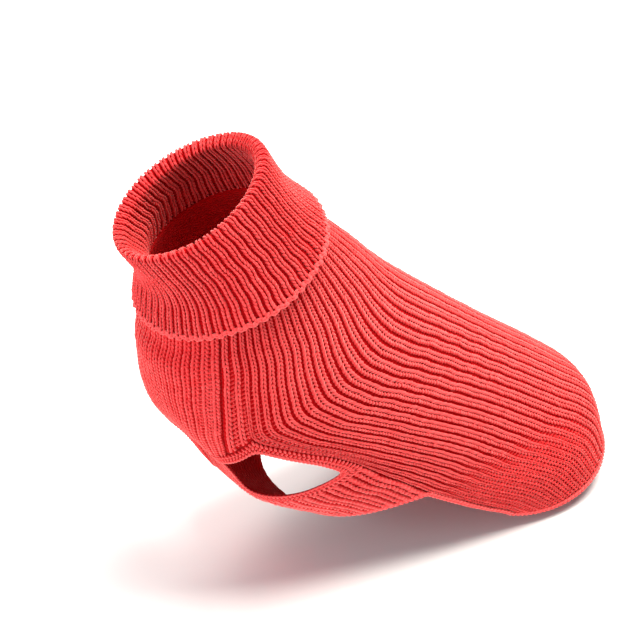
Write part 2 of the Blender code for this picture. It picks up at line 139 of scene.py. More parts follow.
BODY_RINGS = (
    Ring(-0.014, +0.006, -0.116, -0.036, 0.056, 0.50, 1.00, 1.00, 0.720, 0.720),
    Ring(+0.028, -0.032, -0.121, -0.089, 0.065, 0.55, 1.00, 0.88, 0.755, 0.755),
    Ring(+0.063, -0.067, -0.108, -0.143, 0.073, 0.55, 1.00, 0.75, 0.825, 0.815),
    Ring(+0.109, -0.105, -0.070, -0.197, 0.078, 0.55, 1.00, 0.80, 0.725, 0.900),
    Ring(+0.160, -0.145, -0.030, -0.226, 0.082, 0.55, 1.00, 0.88, 0.675, 0.980),
    Ring(+0.208, -0.181, +0.018, -0.250, 0.086, 0.55, 1.00, 0.90, 0.680, 0.980),
    Ring(+0.244, -0.213, +0.066, -0.266, 0.088, 0.55, 1.00, 0.90, 0.680, 0.980),
    Ring(+0.257, -0.254, +0.110, -0.286, 0.086, 0.55, 1.00, 0.90, 0.680, 0.980),
)
# Side of the back's uncut ribs, as along and turn, and how far its corners are eased.
EDGE_PLACES = (
    (0.00, 0.662), (1.00, 0.692), (1.55, 0.722), (1.95, 0.742), (2.10, 0.714),
    (2.25, 0.689), (2.45, 0.659), (2.68, 0.627), (3.00, 0.605), (3.30, 0.604),
    (3.80, 0.608), (4.40, 0.617), (5.00, 0.622), (5.80, 0.640), (6.40, 0.632),
    (6.90, 0.604),
)
EDGE_EASE = 0.06
FOLDS = (
    Fold(2.48, 1.00, 0, 0.026, 0.024, -0.0100),     # breastbone hollow
    Fold(0.62, 1.00, 90, 0.052, 0.007, -0.0018),    # crease and roll under the collar
    Fold(0.92, 1.00, 90, 0.046, 0.010, +0.0014),
    Fold(2.75, 0.545, 12, 0.030, 0.010, +0.0016),   # waves behind the left leg opening
    Fold(3.05, 0.500, 10, 0.034, 0.009, -0.0012),
    Fold(3.60, 0.480, 4, 0.036, 0.012, +0.0012),
    Fold(2.70, 1.450, -11, 0.032, 0.010, +0.0015),  # and behind the right one
    Fold(3.15, 1.505, -8, 0.030, 0.010, -0.0012),
)
OUTER_RINGS = (
    CollarRing(-0.122, -0.058, +0.001, +0.004, 0.069),
    CollarRing(-0.122, -0.030, -0.023, +0.027, 0.059),
    CollarRing(-0.141, +0.001, -0.040, +0.055, 0.047),
)
STAND_RINGS = (
    CollarRing(-0.1162, -0.0358, -0.0141, +0.0062, 0.056),
    CollarRing(-0.117, -0.019, -0.028, +0.029, 0.0505),
    CollarRing(-0.134, -0.001, -0.045, +0.0485, 0.0405),
)
COLLAR_WAVES = Wave(0.5 * MM, 3, 2.2, 0.0), Wave(0.35 * MM, 7, 0.0, 1.0)
WAVES_END = 1.6                         # place on the fold where the waves end
FOLD_RISE = 1.8 * MM
BODY_START, BODY_STOP = -0.2, 7.1       # alongs of the tube, a little past both ends
COLLAR_TURNS = 448                      # columns of the collar's grid, eight a rib
HALF_RING_POINTS = 145                  # samples of half a ring, for measuring along it
ALONG_TO_METRES = 0.055                 # length of one step of along on the sides
TURN_TO_METRES = 0.215                  # length of one unit of turn on the sides
HALF_GAP_TURN = 0.15 * MM / TURN_TO_METRES


class Corner(NamedTuple):
    """How much shorter the hem is at a corner, and how near the corner that starts."""

    depth: float
    across_power: int
    late_power: int


@dataclass(frozen=True)
class Cut:
    """Where the panels are cut, in places along the body."""

    opening_start: float = 1.95
    opening_seam: float = 2.12
    opening_chest: float = 2.34
    opening_end: float = 3.14
    belly_hem_middle: float = 4.20
    belly_hem_seam: float = 4.40
    hem: float = 6.90
    corners: tuple[Corner, ...] = (Corner(0.45, 6, 10), Corner(0.11, 40, 14))
    row_bend: float = 1.5
    belly_hem_power: int = 4


CUT = Cut()


def paired(first: Any, second: Any) -> Pair:
    """Two arrays of numbers brought to one shape."""
    return np.broadcast_arrays(np.asarray(first, float), np.asarray(second, float))


def unit(vectors: Array) -> Array:
    """Vectors scaled to length one."""
    return vectors / np.linalg.norm(vectors, axis=-1, keepdims=True)


def cell_middles(values: Array) -> Array:
    """Middles between neighbouring values."""
    return (values[1:] + values[:-1]) / 2


def rising(value: Array, width: float) -> Array:
    """A soft step from 0 to 1 about value 0."""
    return 1.0 / (1.0 + np.exp(-np.clip(value / width, -30.0, 30.0)))


def bell(*reaches: tuple[Any, float, float]) -> Array:
    """A soft mound, 1 at its middle.

    Args:
        reaches: for each direction the values, the mound's middle and its half width.

    Returns:
        The mound's height at each value.
    """
    return np.exp(-sum(((value - middle) / half) ** 2 for value, middle, half in reaches))


def crown(ribs: Array, roundness: float) -> Array:
    """Rounded height of ribs over their width, 0 in the grooves and 1 on top."""
    return 1 - np.abs(2 * np.mod(ribs, 1.0) - 1) ** roundness


def steps(*runs: tuple[float, float, int]) -> Array:
    """Join even runs of numbers, each on from the end of the one before.

    Args:
        runs: start, stop and count of each run.

    Returns:
        The numbers of all runs, with no number twice.
    """
    first, *others = (np.linspace(*run) for run in runs)
    return np.concatenate([first, *(other[1:] for other in others)])


def run_along(points: Array) -> Array:
    """Length of lines up to each of their points.

    Args:
        points: the points, with the lines' own axis before the last one.

    Returns:
        The lengths, from 0 at the start of each line.
    """
    pieces = np.linalg.norm(np.diff(points, axis=-2), axis=-1)
    start = np.zeros((*pieces.shape[:-1], 1))
    return np.concatenate([start, np.cumsum(pieces, axis=-1)], axis=-1)


def read_line(values: Array, run: Array, at: Array) -> Array:
    """Interpolate the values of a line, one row each, at some lengths along it."""
    return np.stack([np.interp(at, run, column) for column in values.T], axis=-1)


def smooth_table(rows: Any, place: Array) -> Array:
    """Read a table of rows at fractional row numbers through a smooth spline.

    Args:
        rows: the table, a row for each whole number from 0.
        place: the fractional row numbers.

    Returns:
        One row of values for each place.
    """
    table = np.array(rows, float)
    last = len(table) - 1
    padded = np.vstack([2 * table[0] - table[1], table, 2 * table[-1] - table[-2]])
    place = np.asarray(place, float)
    low = np.minimum(np.floor(np.clip(place, 0.0, last)).astype(int), last - 1)
    part = (place - low)[..., None]
    before, start, end, after = (padded[low + k] for k in range(4))
    slope_start, slope_end = (end - before) / 2, (after - start) / 2
    return (
        start * (2 * part**3 - 3 * part**2 + 1)
        + slope_start * (part**3 - 2 * part**2 + part)
        + end * (3 * part**2 - 2 * part**3)
        + slope_end * (part**3 - part**2)
    )


def ring_turn(name: str, along: Array) -> Array:
    """A turn of the ring table, "flow" or "seam", at the places in along."""
    return smooth_table(BODY_RINGS, along)[..., Ring._fields.index(name)]


def edge_turn(along: Array) -> Array:
    """Turn of the side of the back's uncut ribs, with its corners eased."""
    table = np.array(EDGE_PLACES).T
    return sum(np.interp(along + ease, *table) for ease in (-EDGE_EASE, 0.0, EDGE_EASE)) / 3.0


def body_rows(along: Array, turn: Array) -> Array:
    """Grid of points of the body tube, ring by ring.

    Args:
        along: places of the rings.
        turn: turns of the points of every ring.

    Returns:
        An array of rings by turns by three.
    """
    angle = np.linspace(0.0, math.pi, HALF_RING_POINTS)
    facing_back = np.cos(angle) > 0
    share = np.where(turn > 1.0, 2.0 - turn, turn)
    side = np.where(turn > 1.0, 1.0, -1.0)
    grid = []
    for values in smooth_table(BODY_RINGS, along):
        ring = Ring(*values)
        full = np.where(facing_back, ring.back_full, ring.belly_full)
        reach = np.abs(np.cos(angle)) ** full
        to_back, to_belly = ring.widest * (1 - reach), ring.widest + (1 - ring.widest) * reach
        down = np.where(facing_back, to_back, to_belly)
        half = np.stack([
            ring.back_x + (ring.belly_x - ring.back_x) * down,
            ring.half_width * np.abs(np.sin(angle)) ** full,
            ring.back_z + (ring.belly_z - ring.back_z) * down,
        ], axis=-1)
        run = run_along(half)
        points = read_line(half, run, share * run[-1])
        points[:, 1] *= side
        grid.append(points)
    return np.array(grid)


def fold_lift(along: Array, turn: Array) -> Array:
    """Height of the body's soft folds.

    Args:
        along: alongs of some places.
        turn: their turns.

    Returns:
        The height at each place.
    """
    height = np.zeros(np.shape(along))
    for fold in FOLDS:
        lengthwise = (along - fold.along) * ALONG_TO_METRES
        around = (np.mod(turn, 2.0) - fold.turn) * TURN_TO_METRES
        angle = math.radians(fold.degrees)
        down = lengthwise * math.cos(angle) + around * math.sin(angle)
        across = around * math.cos(angle) - lengthwise * math.sin(angle)
        mound = bell((down, 0.0, fold.half_length), (across, 0.0, fold.half_width))
        height = height + fold.height * mound
    return height


def collar_layer(rings: tuple[CollarRing, ...], share: Array, turn: Array) -> Array:
    """Points of one layer of the collar.

    Args:
        rings: the layer's rings, from its foot up.
        share: heights of the rows, 0 at the foot and 1 at the top.
        turn: turns of the points of every row.

    Returns:
        An array of rows by turns by three.
    """
    values = smooth_table(rings, share * (len(rings) - 1))[:, None, :]
    ring = CollarRing(*np.moveaxis(values, -1, 0))
    reach = np.cos(turn * math.pi)[None] / 2
    return np.stack(np.broadcast_arrays(
        (ring.front_x + ring.back_x) / 2 + (ring.back_x - ring.front_x) * reach,
        np.sin(turn * math.pi)[None] * ring.half_width,
        (ring.front_z + ring.back_z) / 2 + (ring.back_z - ring.front_z) * reach,
    ), axis=-1)


def collar_rows(first: Array, turn: Array) -> Array:
    """Grid of points of the collar: up the outer layer, over the fold, down the stand.

    Args:
        first: places of the rows, from 0 to 3.
        turn: turns of the points of every row.

    Returns:
        An array of rows by turns by three.
    """
    up, over, down = first < 1.0, (first >= 1.0) & (first <= 2.0), first > 2.0
    outer = collar_layer(OUTER_RINGS, first[up], turn)
    stand = collar_layer(STAND_RINGS, 3.0 - first[down], turn)
    ends = np.array([0.98, 1.0])
    top, inside = (collar_layer(rings, ends, turn) for rings in (OUTER_RINGS, STAND_RINGS))
    rise = unit(unit(top[1] - top[0]) + unit(inside[1] - inside[0]))[None]
    angle = (first[over] - 1.0)[:, None, None] * math.pi
    middle, apart = (top[1] + inside[1])[None] / 2, (top[1] - inside[1])[None] / 2
    fold = middle + apart * np.cos(angle) + rise * FOLD_RISE * np.sin(angle)
    return np.concatenate([outer, fold, stand])


def collar_waves(first: Array, turn: Array) -> Array:
    """Height of the rolled collar's soft waves, the finer one only low on it.

    Args:
        first: places from the collar's edge, 0, up over the fold.
        turn: their turns.

    Returns:
        The height at each place.
    """
    low = np.clip(1.0 - first, 0.0, 1.0)
    broad, fine = (wave.at(first, turn) for wave in COLLAR_WAVES)
    return (broad + fine * low) * (first < WAVES_END)


@dataclass
class Surface:
    """A smooth middle surface kept as a fine grid of points, closed in turn.

    Its first coordinate runs from start to stop, and its second, turn, goes
    round from 0 to 2.  Normals are taken over reach columns to both sides.
    """

    start: float
    stop: float
    rows: Callable[[Array, Array], Array]
    lift: Callable[[Array, Array], Array]
    step: float = 0.02
    turns: int = 400
    reach: int = 2

    def __post_init__(self) -> None:
        """Work out the grid of points and of outward normals."""
        count = int(round((self.stop - self.start) / self.step)) + 1
        first = np.linspace(self.start, self.stop, count)
        turn = np.arange(self.turns + 1) * 2.0 / self.turns
        self.points = self.rows(first, turn)
        ahead = np.gradient(self.points, axis=0)
        ring = self.points[:, :-1]
        around = np.roll(ring, -self.reach, 1) - np.roll(ring, self.reach, 1)
        around = np.concatenate([around, around[:, :1]], axis=1)
        self.normals = unit(np.cross(around, ahead))

    def _read(self, table: Array, first: Array, turn: Array) -> Array:
        """Interpolate one of the grids.

        Args:
            table: the grid.
            first: the first coordinates of the places.
            turn: their turns.

        Returns:
            The grid's value at each place.
        """
        row = np.clip((first - self.start) / self.step, 0, len(table) - 1.001)
        column = np.mod(turn, 2.0) * self.turns / 2.0
        i, j = row.astype(int), column.astype(int)
        a, b = (row - i)[..., None], (column - j)[..., None]
        upper = table[i, j] * (1 - b) + table[i, j + 1] * b
        lower = table[i + 1, j] * (1 - b) + table[i + 1, j + 1] * b
        return upper * (1 - a) + lower * a

    def normal(self, first: Array, turn: Array) -> Array:
        """Outward unit normals at places (first, turn)."""
        return unit(self._read(self.normals, *paired(first, turn)))

    def point(self, first: Array, turn: Array, height: Any = 0.0) -> Array:
        """Points at a height over the folded surface.

        Args:
            first: the first coordinates of the places.
            turn: their turns.
            height: height over the surface, a number or one for each place.

        Returns:
            An array of points, one for each place.
        """
        first, turn = paired(first, turn)
        rise = np.broadcast_to(height + self.lift(first, turn), first.shape)[..., None]
        return self._read(self.points, first, turn) + self.normal(first, turn) * rise


# ------------------------------------------------------------------ meshes


def make_object(name: str, points: Array, faces: Array, notes: dict[str, Array]) -> bpy.types.Object:
    """Make a smooth mesh object from arrays.

    Args:
        name: the object's name.
        points: its points, one row each.
        faces: point numbers of its four-sided faces, one row each.
        notes: vector values kept on its points, by name.

    Returns:
        The new object, in the scene.
    """
    mesh = bpy.data.meshes.new(name)
    mesh.vertices.add(len(points))
    mesh.vertices.foreach_set("co", np.ascontiguousarray(points, np.float32).ravel())
    mesh.loops.add(faces.size)
    mesh.loops.foreach_set("vertex_index", np.ascontiguousarray(faces, np.int32).ravel())
    mesh.polygons.add(len(faces))
    mesh.polygons.foreach_set("loop_start", np.arange(0, faces.size, 4, dtype=np.int32))
    mesh.polygons.foreach_set("use_smooth", np.ones(len(faces), bool))
    mesh.update(calc_edges=True)
    mesh.validate()
    for note, values in notes.items():
        made = mesh.attributes.new(note, "FLOAT_VECTOR", "POINT")
        made.data.foreach_set("vector", np.ascontiguousarray(values, np.float32).ravel())
    piece = bpy.data.objects.new(name, mesh)
    bpy.context.scene.collection.objects.link(piece)
    return piece


@dataclass
class Strands:
    """Short lengths of yarn gathered into one mesh.

    The mesh carries two notes: yarn is the cosine and sine round the yarn and
    the length along it in millimetres, and lie is the height over the cloth in
    millimetres, which the yarn's finish turns into painted shade, a random tone,
    and painted shade that deepens the open knit over the haunches.
    """

    sides: int = 5
    end_taper: float = 0.45
    points: list[Array] = field(default_factory=list)
    faces: list[Array] = field(default_factory=list)
    notes: list[Array] = field(default_factory=list)
    lies: list[Array] = field(default_factory=list)
    count: int = 0
    rng: np.random.Generator = field(default_factory=lambda: np.random.default_rng(SEED))

    def add(
        self, centre: Array, outward: Array, radius: Array, height: Any = 2 * MM,
        flat: float = 0.9, start_taper: float = 0.45, depth: Any = 0.0,
    ) -> None:
        """Add lengths of yarn as tubes.

        Args:
            centre: middle line of each length, lengths by stations by three.
            outward: the cloth's outward direction at each station.
            radius: half width of each length at each station.
            height: height of its middle line over the cloth's.
            flat: height of a length over its width.
            start_taper: width at its start over its full width.
            depth: painted shade that deepens the yarn's colour, one value a length.
        """
        lengths, stations, _ = centre.shape
        if lengths == 0:
            return
        ahead = unit(np.gradient(centre, axis=1))
        across = unit(np.cross(ahead, outward))
        up = np.cross(across, ahead)
        taper = np.ones(stations)
        taper[0], taper[-1] = start_taper, self.end_taper
        half = (radius * taper)[..., None, None]
        angle = np.arange(self.sides) * 2 * math.pi / self.sides
        cos, sin = np.cos(angle), np.sin(angle)
        ring = across[:, :, None] * cos[:, None] * half
        ring = ring + up[:, :, None] * sin[:, None] * half * flat
        run = run_along(centre) / MM
        # Height of each point over the cloth, which the yarn's finish turns into painted shade.
        level = np.broadcast_to(height, radius.shape)[..., None] + sin * half[..., 0] * flat
        tone = self.rng.random((lengths, 1, 1))
        depth = np.broadcast_to(depth, lengths)[:, None, None]
        note = np.stack(np.broadcast_arrays(cos, sin, run[..., None]), axis=-1)
        lie = np.stack(np.broadcast_arrays(level / MM, tone, depth), axis=-1)
        number = np.arange(lengths * stations * self.sides).reshape(lengths, stations, self.sides)
        near, far = number[:, :-1], number[:, 1:]
        quads = np.stack([near, np.roll(near, -1, 2), np.roll(far, -1, 2), far], axis=-1)
        self.points.append((centre[:, :, None] + ring).reshape(-1, 3))
        self.faces.append(quads.reshape(-1, 4) + self.count)
        self.notes.append(note.reshape(-1, 3))
        self.lies.append(lie.reshape(-1, 3))
        self.count += number.size

    def build(self, name: str) -> bpy.types.Object:
        """Make the gathered lengths one object.

        Args:
            name: the object's name.

        Returns:
            The new object.
        """
        points, faces, notes, lies = map(
            np.concatenate, (self.points, self.faces, self.notes, self.lies)
        )
        return make_object(name, points, faces[:, ::-1], {"yarn": notes, "lie": lies})


def closed_cloth(
    name: str, faces_of_cloth: Pair, kept: Array, knit: Array, wraps: bool = False
) -> bpy.types.Object:
    """Make a thin closed cloth from two grids of points.

    The mesh carries the note knit: the rib number, the stitch number, and 1 on
    the outer face and 0 on the inner one.

    Args:
        name: the object's name.
        faces_of_cloth: outer and inner points, each rows by columns by three.
        kept: which cells of the grid are cloth, a row and a column fewer.
        knit: rib and stitch numbers on the grid, rows by columns by two.
        wraps: whether the last column joins the first.

    Returns:
        The new object.
    """
    outer, inner = faces_of_cloth
    rows, columns, _ = outer.shape
    size = rows * columns
    number = np.arange(size).reshape(rows, columns)
    right = np.roll(number, -1, 1) if wraps else number[:, 1:]
    left = number if wraps else number[:, :-1]
    ends = np.stack([left[:-1], right[:-1], right[1:], left[1:]], axis=-1)[kept].reshape(-1, 4)
    edges = np.stack([ends, np.roll(ends, -1, 1)], axis=-1).reshape(-1, 2)
    code, code_back = edges[:, 0] * size + edges[:, 1], edges[:, 1] * size + edges[:, 0]
    free = edges[~np.isin(code, code_back)]
    walls = np.stack([free[:, 1], free[:, 0], free[:, 0] + size, free[:, 1] + size], axis=-1)
    faces = np.concatenate([ends, ends[:, ::-1] + size, walls])
    used, faces = np.unique(faces, return_inverse=True)
    faces = faces.reshape(-1, 4)
    points = np.concatenate([outer.reshape(-1, 3), inner.reshape(-1, 3)])[used]
    side = np.repeat([[1.0], [0.0]], size, axis=0)
    note = np.concatenate([np.tile(knit.reshape(-1, 2), (2, 1)), side], axis=1)[used]
    return make_object(name, points, faces[:, ::-1], {"knit": note})


@dataclass(frozen=True)
class Ground:
    """Form of a cloth under its stitches: heights of its ribs and of its inside."""

    groove: float = 0.15 * MM
    rise: float = 1.05 * MM
    roundness: float = 1.6
    inside: float = -1.25 * MM
    hollow: float = 0.35 * MM
    hollow_roundness: float = 3
    flattening: float = 0.65

    def heights(self, ribs: Array, open_by: Array) -> Pair:
        """Heights of the cloth's two faces.

        Args:
            ribs: rib numbers of some places.
            open_by: how open the knit lies there, which flattens its ribs.

        Returns:
            The heights of the outer and of the inner face.
        """
        rise = self.rise * (1 - self.flattening * open_by)
        outer = self.groove + rise * crown(ribs, self.roundness)
        return outer, self.inside - self.hollow * crown(ribs + 0.5, self.hollow_roundness)


# ------------------------------------------------------------------ stitches


@dataclass(frozen=True)
class Lie:
    """How a stitch lies: sizes in shares of its rib's width and its own length.

    The two legs of a stitch lean from root to tip, over reach rows.  Yarn is the
    yarn's half width, crest the height of the rib's middle line, arch what a leg
    rises over it, and shoulder how fast the rib falls to its sides.
    """

    root: float
    tip: float
    reach: float
    yarn: float
    crest: float
    arch: float
    shoulder: float

    @staticmethod
    def mix(lies: tuple[Lie, ...], shares: tuple[Array, ...]) -> list[Array]:
        """Move each value of the first lie towards each next one's.

        Args:
            lies: the lies, the first one as the start.
            shares: how far to go towards each of the others.

        Returns:
            The seven values, in the order of a lie's fields.
        """
        values = list(astuple(lies[0]))
        for lie, share in zip(lies[1:], shares):
            values = [near + (far - near) * share for near, far in zip(values, astuple(lie))]
        return values


@dataclass(frozen=True)
class StitchForm:
    """Form of a knit stitch: its row height and how it lies close, spread and open.

    Rows left out at both ends of a rib, and the margin there, are counted in rows.
    """

    pitch: float = 2.4 * MM
    close: Lie = Lie(0.050, 0.300, 1.55, 0.130, 1.60 * MM, 0.42 * MM, 0.85)
    spread: Lie = Lie(0.050, 0.350, 1.45, 0.128, 1.40 * MM, 0.40 * MM, 0.45)
    open: Lie = Lie(0.030, 0.125, 1.25, 0.078, 1.20 * MM, 0.45 * MM, 0.20)
    sway: float = 0.62
    stations: int = 4
    flat: float = 0.90
    parting: float = 0.55
    joined: float = 0.75
    left_out: tuple[float, float] = (0.55, 0.10)
    margin: float = 0.05
    bow_start: float = 0.02
    bow_reach: float = 1.05
    bow_power: float = 0.8


@dataclass(frozen=True)
class Unevenness:
    """How far hand-made stitches differ and sink in, and how their ribs sway."""

    size: float = 0.06
    offset: float = 0.014
    height: float = 0.07 * MM
    sinking: float = 0.35 * MM
    bar_place: float = 0.05
    sway_a_rib: float = 0.22
    sway_least: float = 0.6
    sway_swell: float = 0.4
    swell_a_row: float = 0.083
    swell_a_rib: float = 0.31


class Bar(NamedTuple):
    """A short bar of yarn between two ribs: when it shows and how it lies."""

    least_open: float
    rows_late: float
    half_reach: float
    bend: float


@dataclass(frozen=True)
class BarForm:
    """The bars of an open knit, their height over the cloth and their yarn."""

    bars: tuple[Bar, ...] = (Bar(0.0, 0.0, 0.33, 0.22), Bar(0.55, 0.5, 0.060, -0.1))
    least_open: float = 0.10
    left_out: tuple[float, float] = (1.0, 0.8)
    stations: int = 4
    low: float = -0.75
    rise: float = 2.15
    sag: float = 0.30
    yarn: float = 0.70
    open_yarn: float = 0.16


class Rows(NamedTuple):
    """Rows of stitches down a piece: nominal places and the row number at each."""

    nominal: Array
    row: Array

    def place(self, row: Array) -> Array:
        """Nominal places of fractional row numbers."""
        return np.interp(row, self.row, self.nominal)

    def number(self, nominal: Array) -> Array:
        """Fractional row numbers of nominal places."""
        return np.interp(nominal, self.nominal, self.row)

    def between(self, low: float, high: float) -> Rows:
        """The rows from one nominal place to another."""
        kept = (self.nominal >= low) & (self.nominal <= high)
        return Rows(self.nominal[kept], self.row[kept])

    def stitches(self, ribs: Array, before: float, after: float) -> Pair:
        """List the stitches of some ribs.

        Args:
            ribs: the ribs' middles.
            before: rows left out at the start.
            after: rows left out at the end.

        Returns:
            The rib and the row number of each stitch.
        """
        number = np.arange(self.row[0] + before, self.row[-1] - after, 1.0)
        rib, row = np.meshgrid(ribs, number, indexing="ij")
        return rib.ravel(), row.ravel()


def push_out(line: Array, outward: Array, reach: Any) -> Array:
    """Move the line of an edge away from its cloth.

    Args:
        line: points of the line, the cloth on its left as seen from outside.
        outward: the cloth's outward direction at each point.
        reach: how far each point moves.

    Returns:
        The moved points.
    """
    across = unit(np.cross(unit(np.gradient(line, axis=0)), outward))
    return line + across * np.broadcast_to(reach, len(line))[:, None]


@dataclass(frozen=True)
class Chain:
    """A chain of stitches along an edge: its pitch, its yarn and how its legs part."""

    pitch: float
    radius: float
    closed: bool = False
    overlap: float = 1.4
    root: float = 0.35
    spread: float = 0.75
    arch: float = 0.9
    stations: int = 4
    look: float = 0.2 * MM

    def lay(self, strands: Strands, line: Array, outward: Array) -> None:
        """Lay the chain.

        Args:
            strands: where the yarn goes.
            line: points of the edge's line.
            outward: the cloth's outward direction at each point.
        """
        if self.closed:
            line, outward = np.vstack([line, line[:1]]), np.vstack([outward, outward[:1]])
        run = run_along(line)
        count = max(int(run[-1] / self.pitch), 2)
        part = np.linspace(0.0, 1.0, self.stations)
        middle = np.arange(count)[:, None] + 0.5
        place = (middle + (part - 0.5) * self.overlap) * (run[-1] / count)
        place = np.mod(place, run[-1]) if self.closed else np.clip(place, 0.0, run[-1])
        centre, up = read_line(line, run, place), unit(read_line(outward, run, place))
        behind, ahead = (
            read_line(line, run, np.clip(place + look, 0, run[-1])) for look in (-self.look, self.look)
        )
        across = unit(np.cross(unit(ahead - behind), up))
        for side in (-1.0, 1.0):
            offset = side * self.radius * (self.root + self.spread * part)
            arch = self.radius * self.arch * np.sin(math.pi * part)
            path = centre + across * offset[:, None] + up * arch[:, None]
            strands.add(path, up, np.full(place.shape, self.radius))


@dataclass(frozen=True)
class HemForm:
    """The chain that finishes a hem: the height of its line and how far out it lies."""

    height: float
    reach: float
    chain: Chain = Chain(3.8 * MM, 1.15 * MM)

    def chain_on(self, surface: Surface, places: Pair, smoothing: int = 0) -> Strands:
        """Lay the chain.

        Args:
            surface: the panel's surface.
            places: places on it along the hem.
            smoothing: how often the line is smoothed.

        Returns:
            The chain's yarn.
        """
        line, outward = surface.point(*places, self.height), surface.normal(*places)
        for _ in range(smoothing):
            line[1:-1] = (line[:-2] + 2 * line[1:-1] + line[2:]) / 4
        strands = Strands()
        self.chain.lay(strands, push_out(line, outward, self.reach), outward)
        return strands


# ------------------------------------------------------------------ finishes


class Value:
    """One number socket of a node tree; sums on it add Math nodes."""

    def __init__(self, graph: Graph, socket: bpy.types.NodeSocket) -> None:
        """Keep the socket and the graph that it belongs to."""
        self.graph = graph
        self.socket = socket

    def math(self, operation: str, *others: Any) -> Value:
        """Apply a Math node.

        Args:
            operation: the node's operation.
            others: its inputs after this value, numbers or values.

        Returns:
            The node's result.
        """
        inputs = dict(enumerate((self, *others)))
        made = self.graph.node("ShaderNodeMath", {"operation": operation}, inputs)
        return Value(self.graph, made.outputs[0])

    def __add__(self, other: Any) -> Value:
        """Sum."""
        return self.math("ADD", other)

    def __sub__(self, other: Any) -> Value:
        """Difference."""
        return self.math("SUBTRACT", other)

    def __rsub__(self, other: Any) -> Value:
        """Difference the other way round."""
        return (self * -1.0) + other

    def __mul__(self, other: Any) -> Value:
        """Product."""
        return self.math("MULTIPLY", other)

    __radd__ = __add__
    __rmul__ = __mul__


class Graph:
    """A material's nodes, each made by one method."""

    def __init__(self, name: str) -> None:
        """Start a material with an empty node tree.

        Args:
            name: the material's name.
        """
        self.material = bpy.data.materials.new(name)
        self.material.use_nodes = True
        self.tree = self.material.node_tree
        self.tree.nodes.clear()

    def node(
        self, kind: str, settings: dict[str, Any] | None = None, values: dict[Any, Any] | None = None
    ) -> bpy.types.Node:
        """Add a node.

        Args:
            kind: the node's type.
            settings: its properties, such as a Math node's operation.
            values: numbers, colours, sockets or values for its inputs.

        Returns:
            The new node.
        """
        made = self.tree.nodes.new(kind)
        for name, setting in (settings or {}).items():
            setattr(made, name, setting)
        for name, value in (values or {}).items():
            if isinstance(value, Value):
                value = value.socket
            if isinstance(value, bpy.types.NodeSocket):
                self.tree.links.new(value, made.inputs[name])
            else:
                made.inputs[name].default_value = value
        return made

    def note(self, name: str) -> tuple[Value, Value, Value]:
        """Read a vector kept on the points.

        Args:
            name: name of the note.

        Returns:
            Its three values.
        """
        read = self.node("ShaderNodeAttribute", {"attribute_name": name})
        parts = self.node("ShaderNodeSeparateXYZ", {}, {0: read.outputs["Vector"]})
        return tuple(Value(self, parts.outputs[k]) for k in range(3))

    def noise(self, scale: float, detail: float = 2.0, roughness: float = 0.5) -> Value:
        """A noise on the object's own coordinates.

        Args:
            scale: the Noise Texture's scale.
            detail: its detail.
            roughness: its roughness.

        Returns:
            The noise, from 0 to 1.
        """
        place = self.node("ShaderNodeTexCoord").outputs["Object"]
        inputs = {"Vector": place, "Scale": scale, "Detail": detail, "Roughness": roughness}
        return Value(self, self.node("ShaderNodeTexNoise", {}, inputs).outputs["Fac"])

    def mix(self, low: Any, high: Any, factor: Value) -> bpy.types.NodeSocket:
        """Mix two colours by a value."""
        settings = {"data_type": "RGBA", "clamp_factor": True}
        return self.node("ShaderNodeMix", settings, {"Factor": factor, 6: low, 7: high}).outputs[2]

    def finish(self, values: dict[str, Any], height: Value, strength: float, depth: float) -> None:
        """End the material with a Principled shader over a bump.

        Args:
            values: inputs of the shader.
            height: the bump's height.
            strength: the bump's strength.
            depth: height of the bump's relief in metres.
        """
        relief = {"Strength": strength, "Distance": depth, "Height": height}
        bump = self.node("ShaderNodeBump", {}, relief)
        shader = self.node("ShaderNodeBsdfPrincipled", {}, {"Normal": bump.outputs[0], **values})
        self.node("ShaderNodeOutputMaterial", {}, {"Surface": shader.outputs[0]})


FIBRES = (1700.0, 3.0, 0.65)
DYE = (55.0, 2.0)


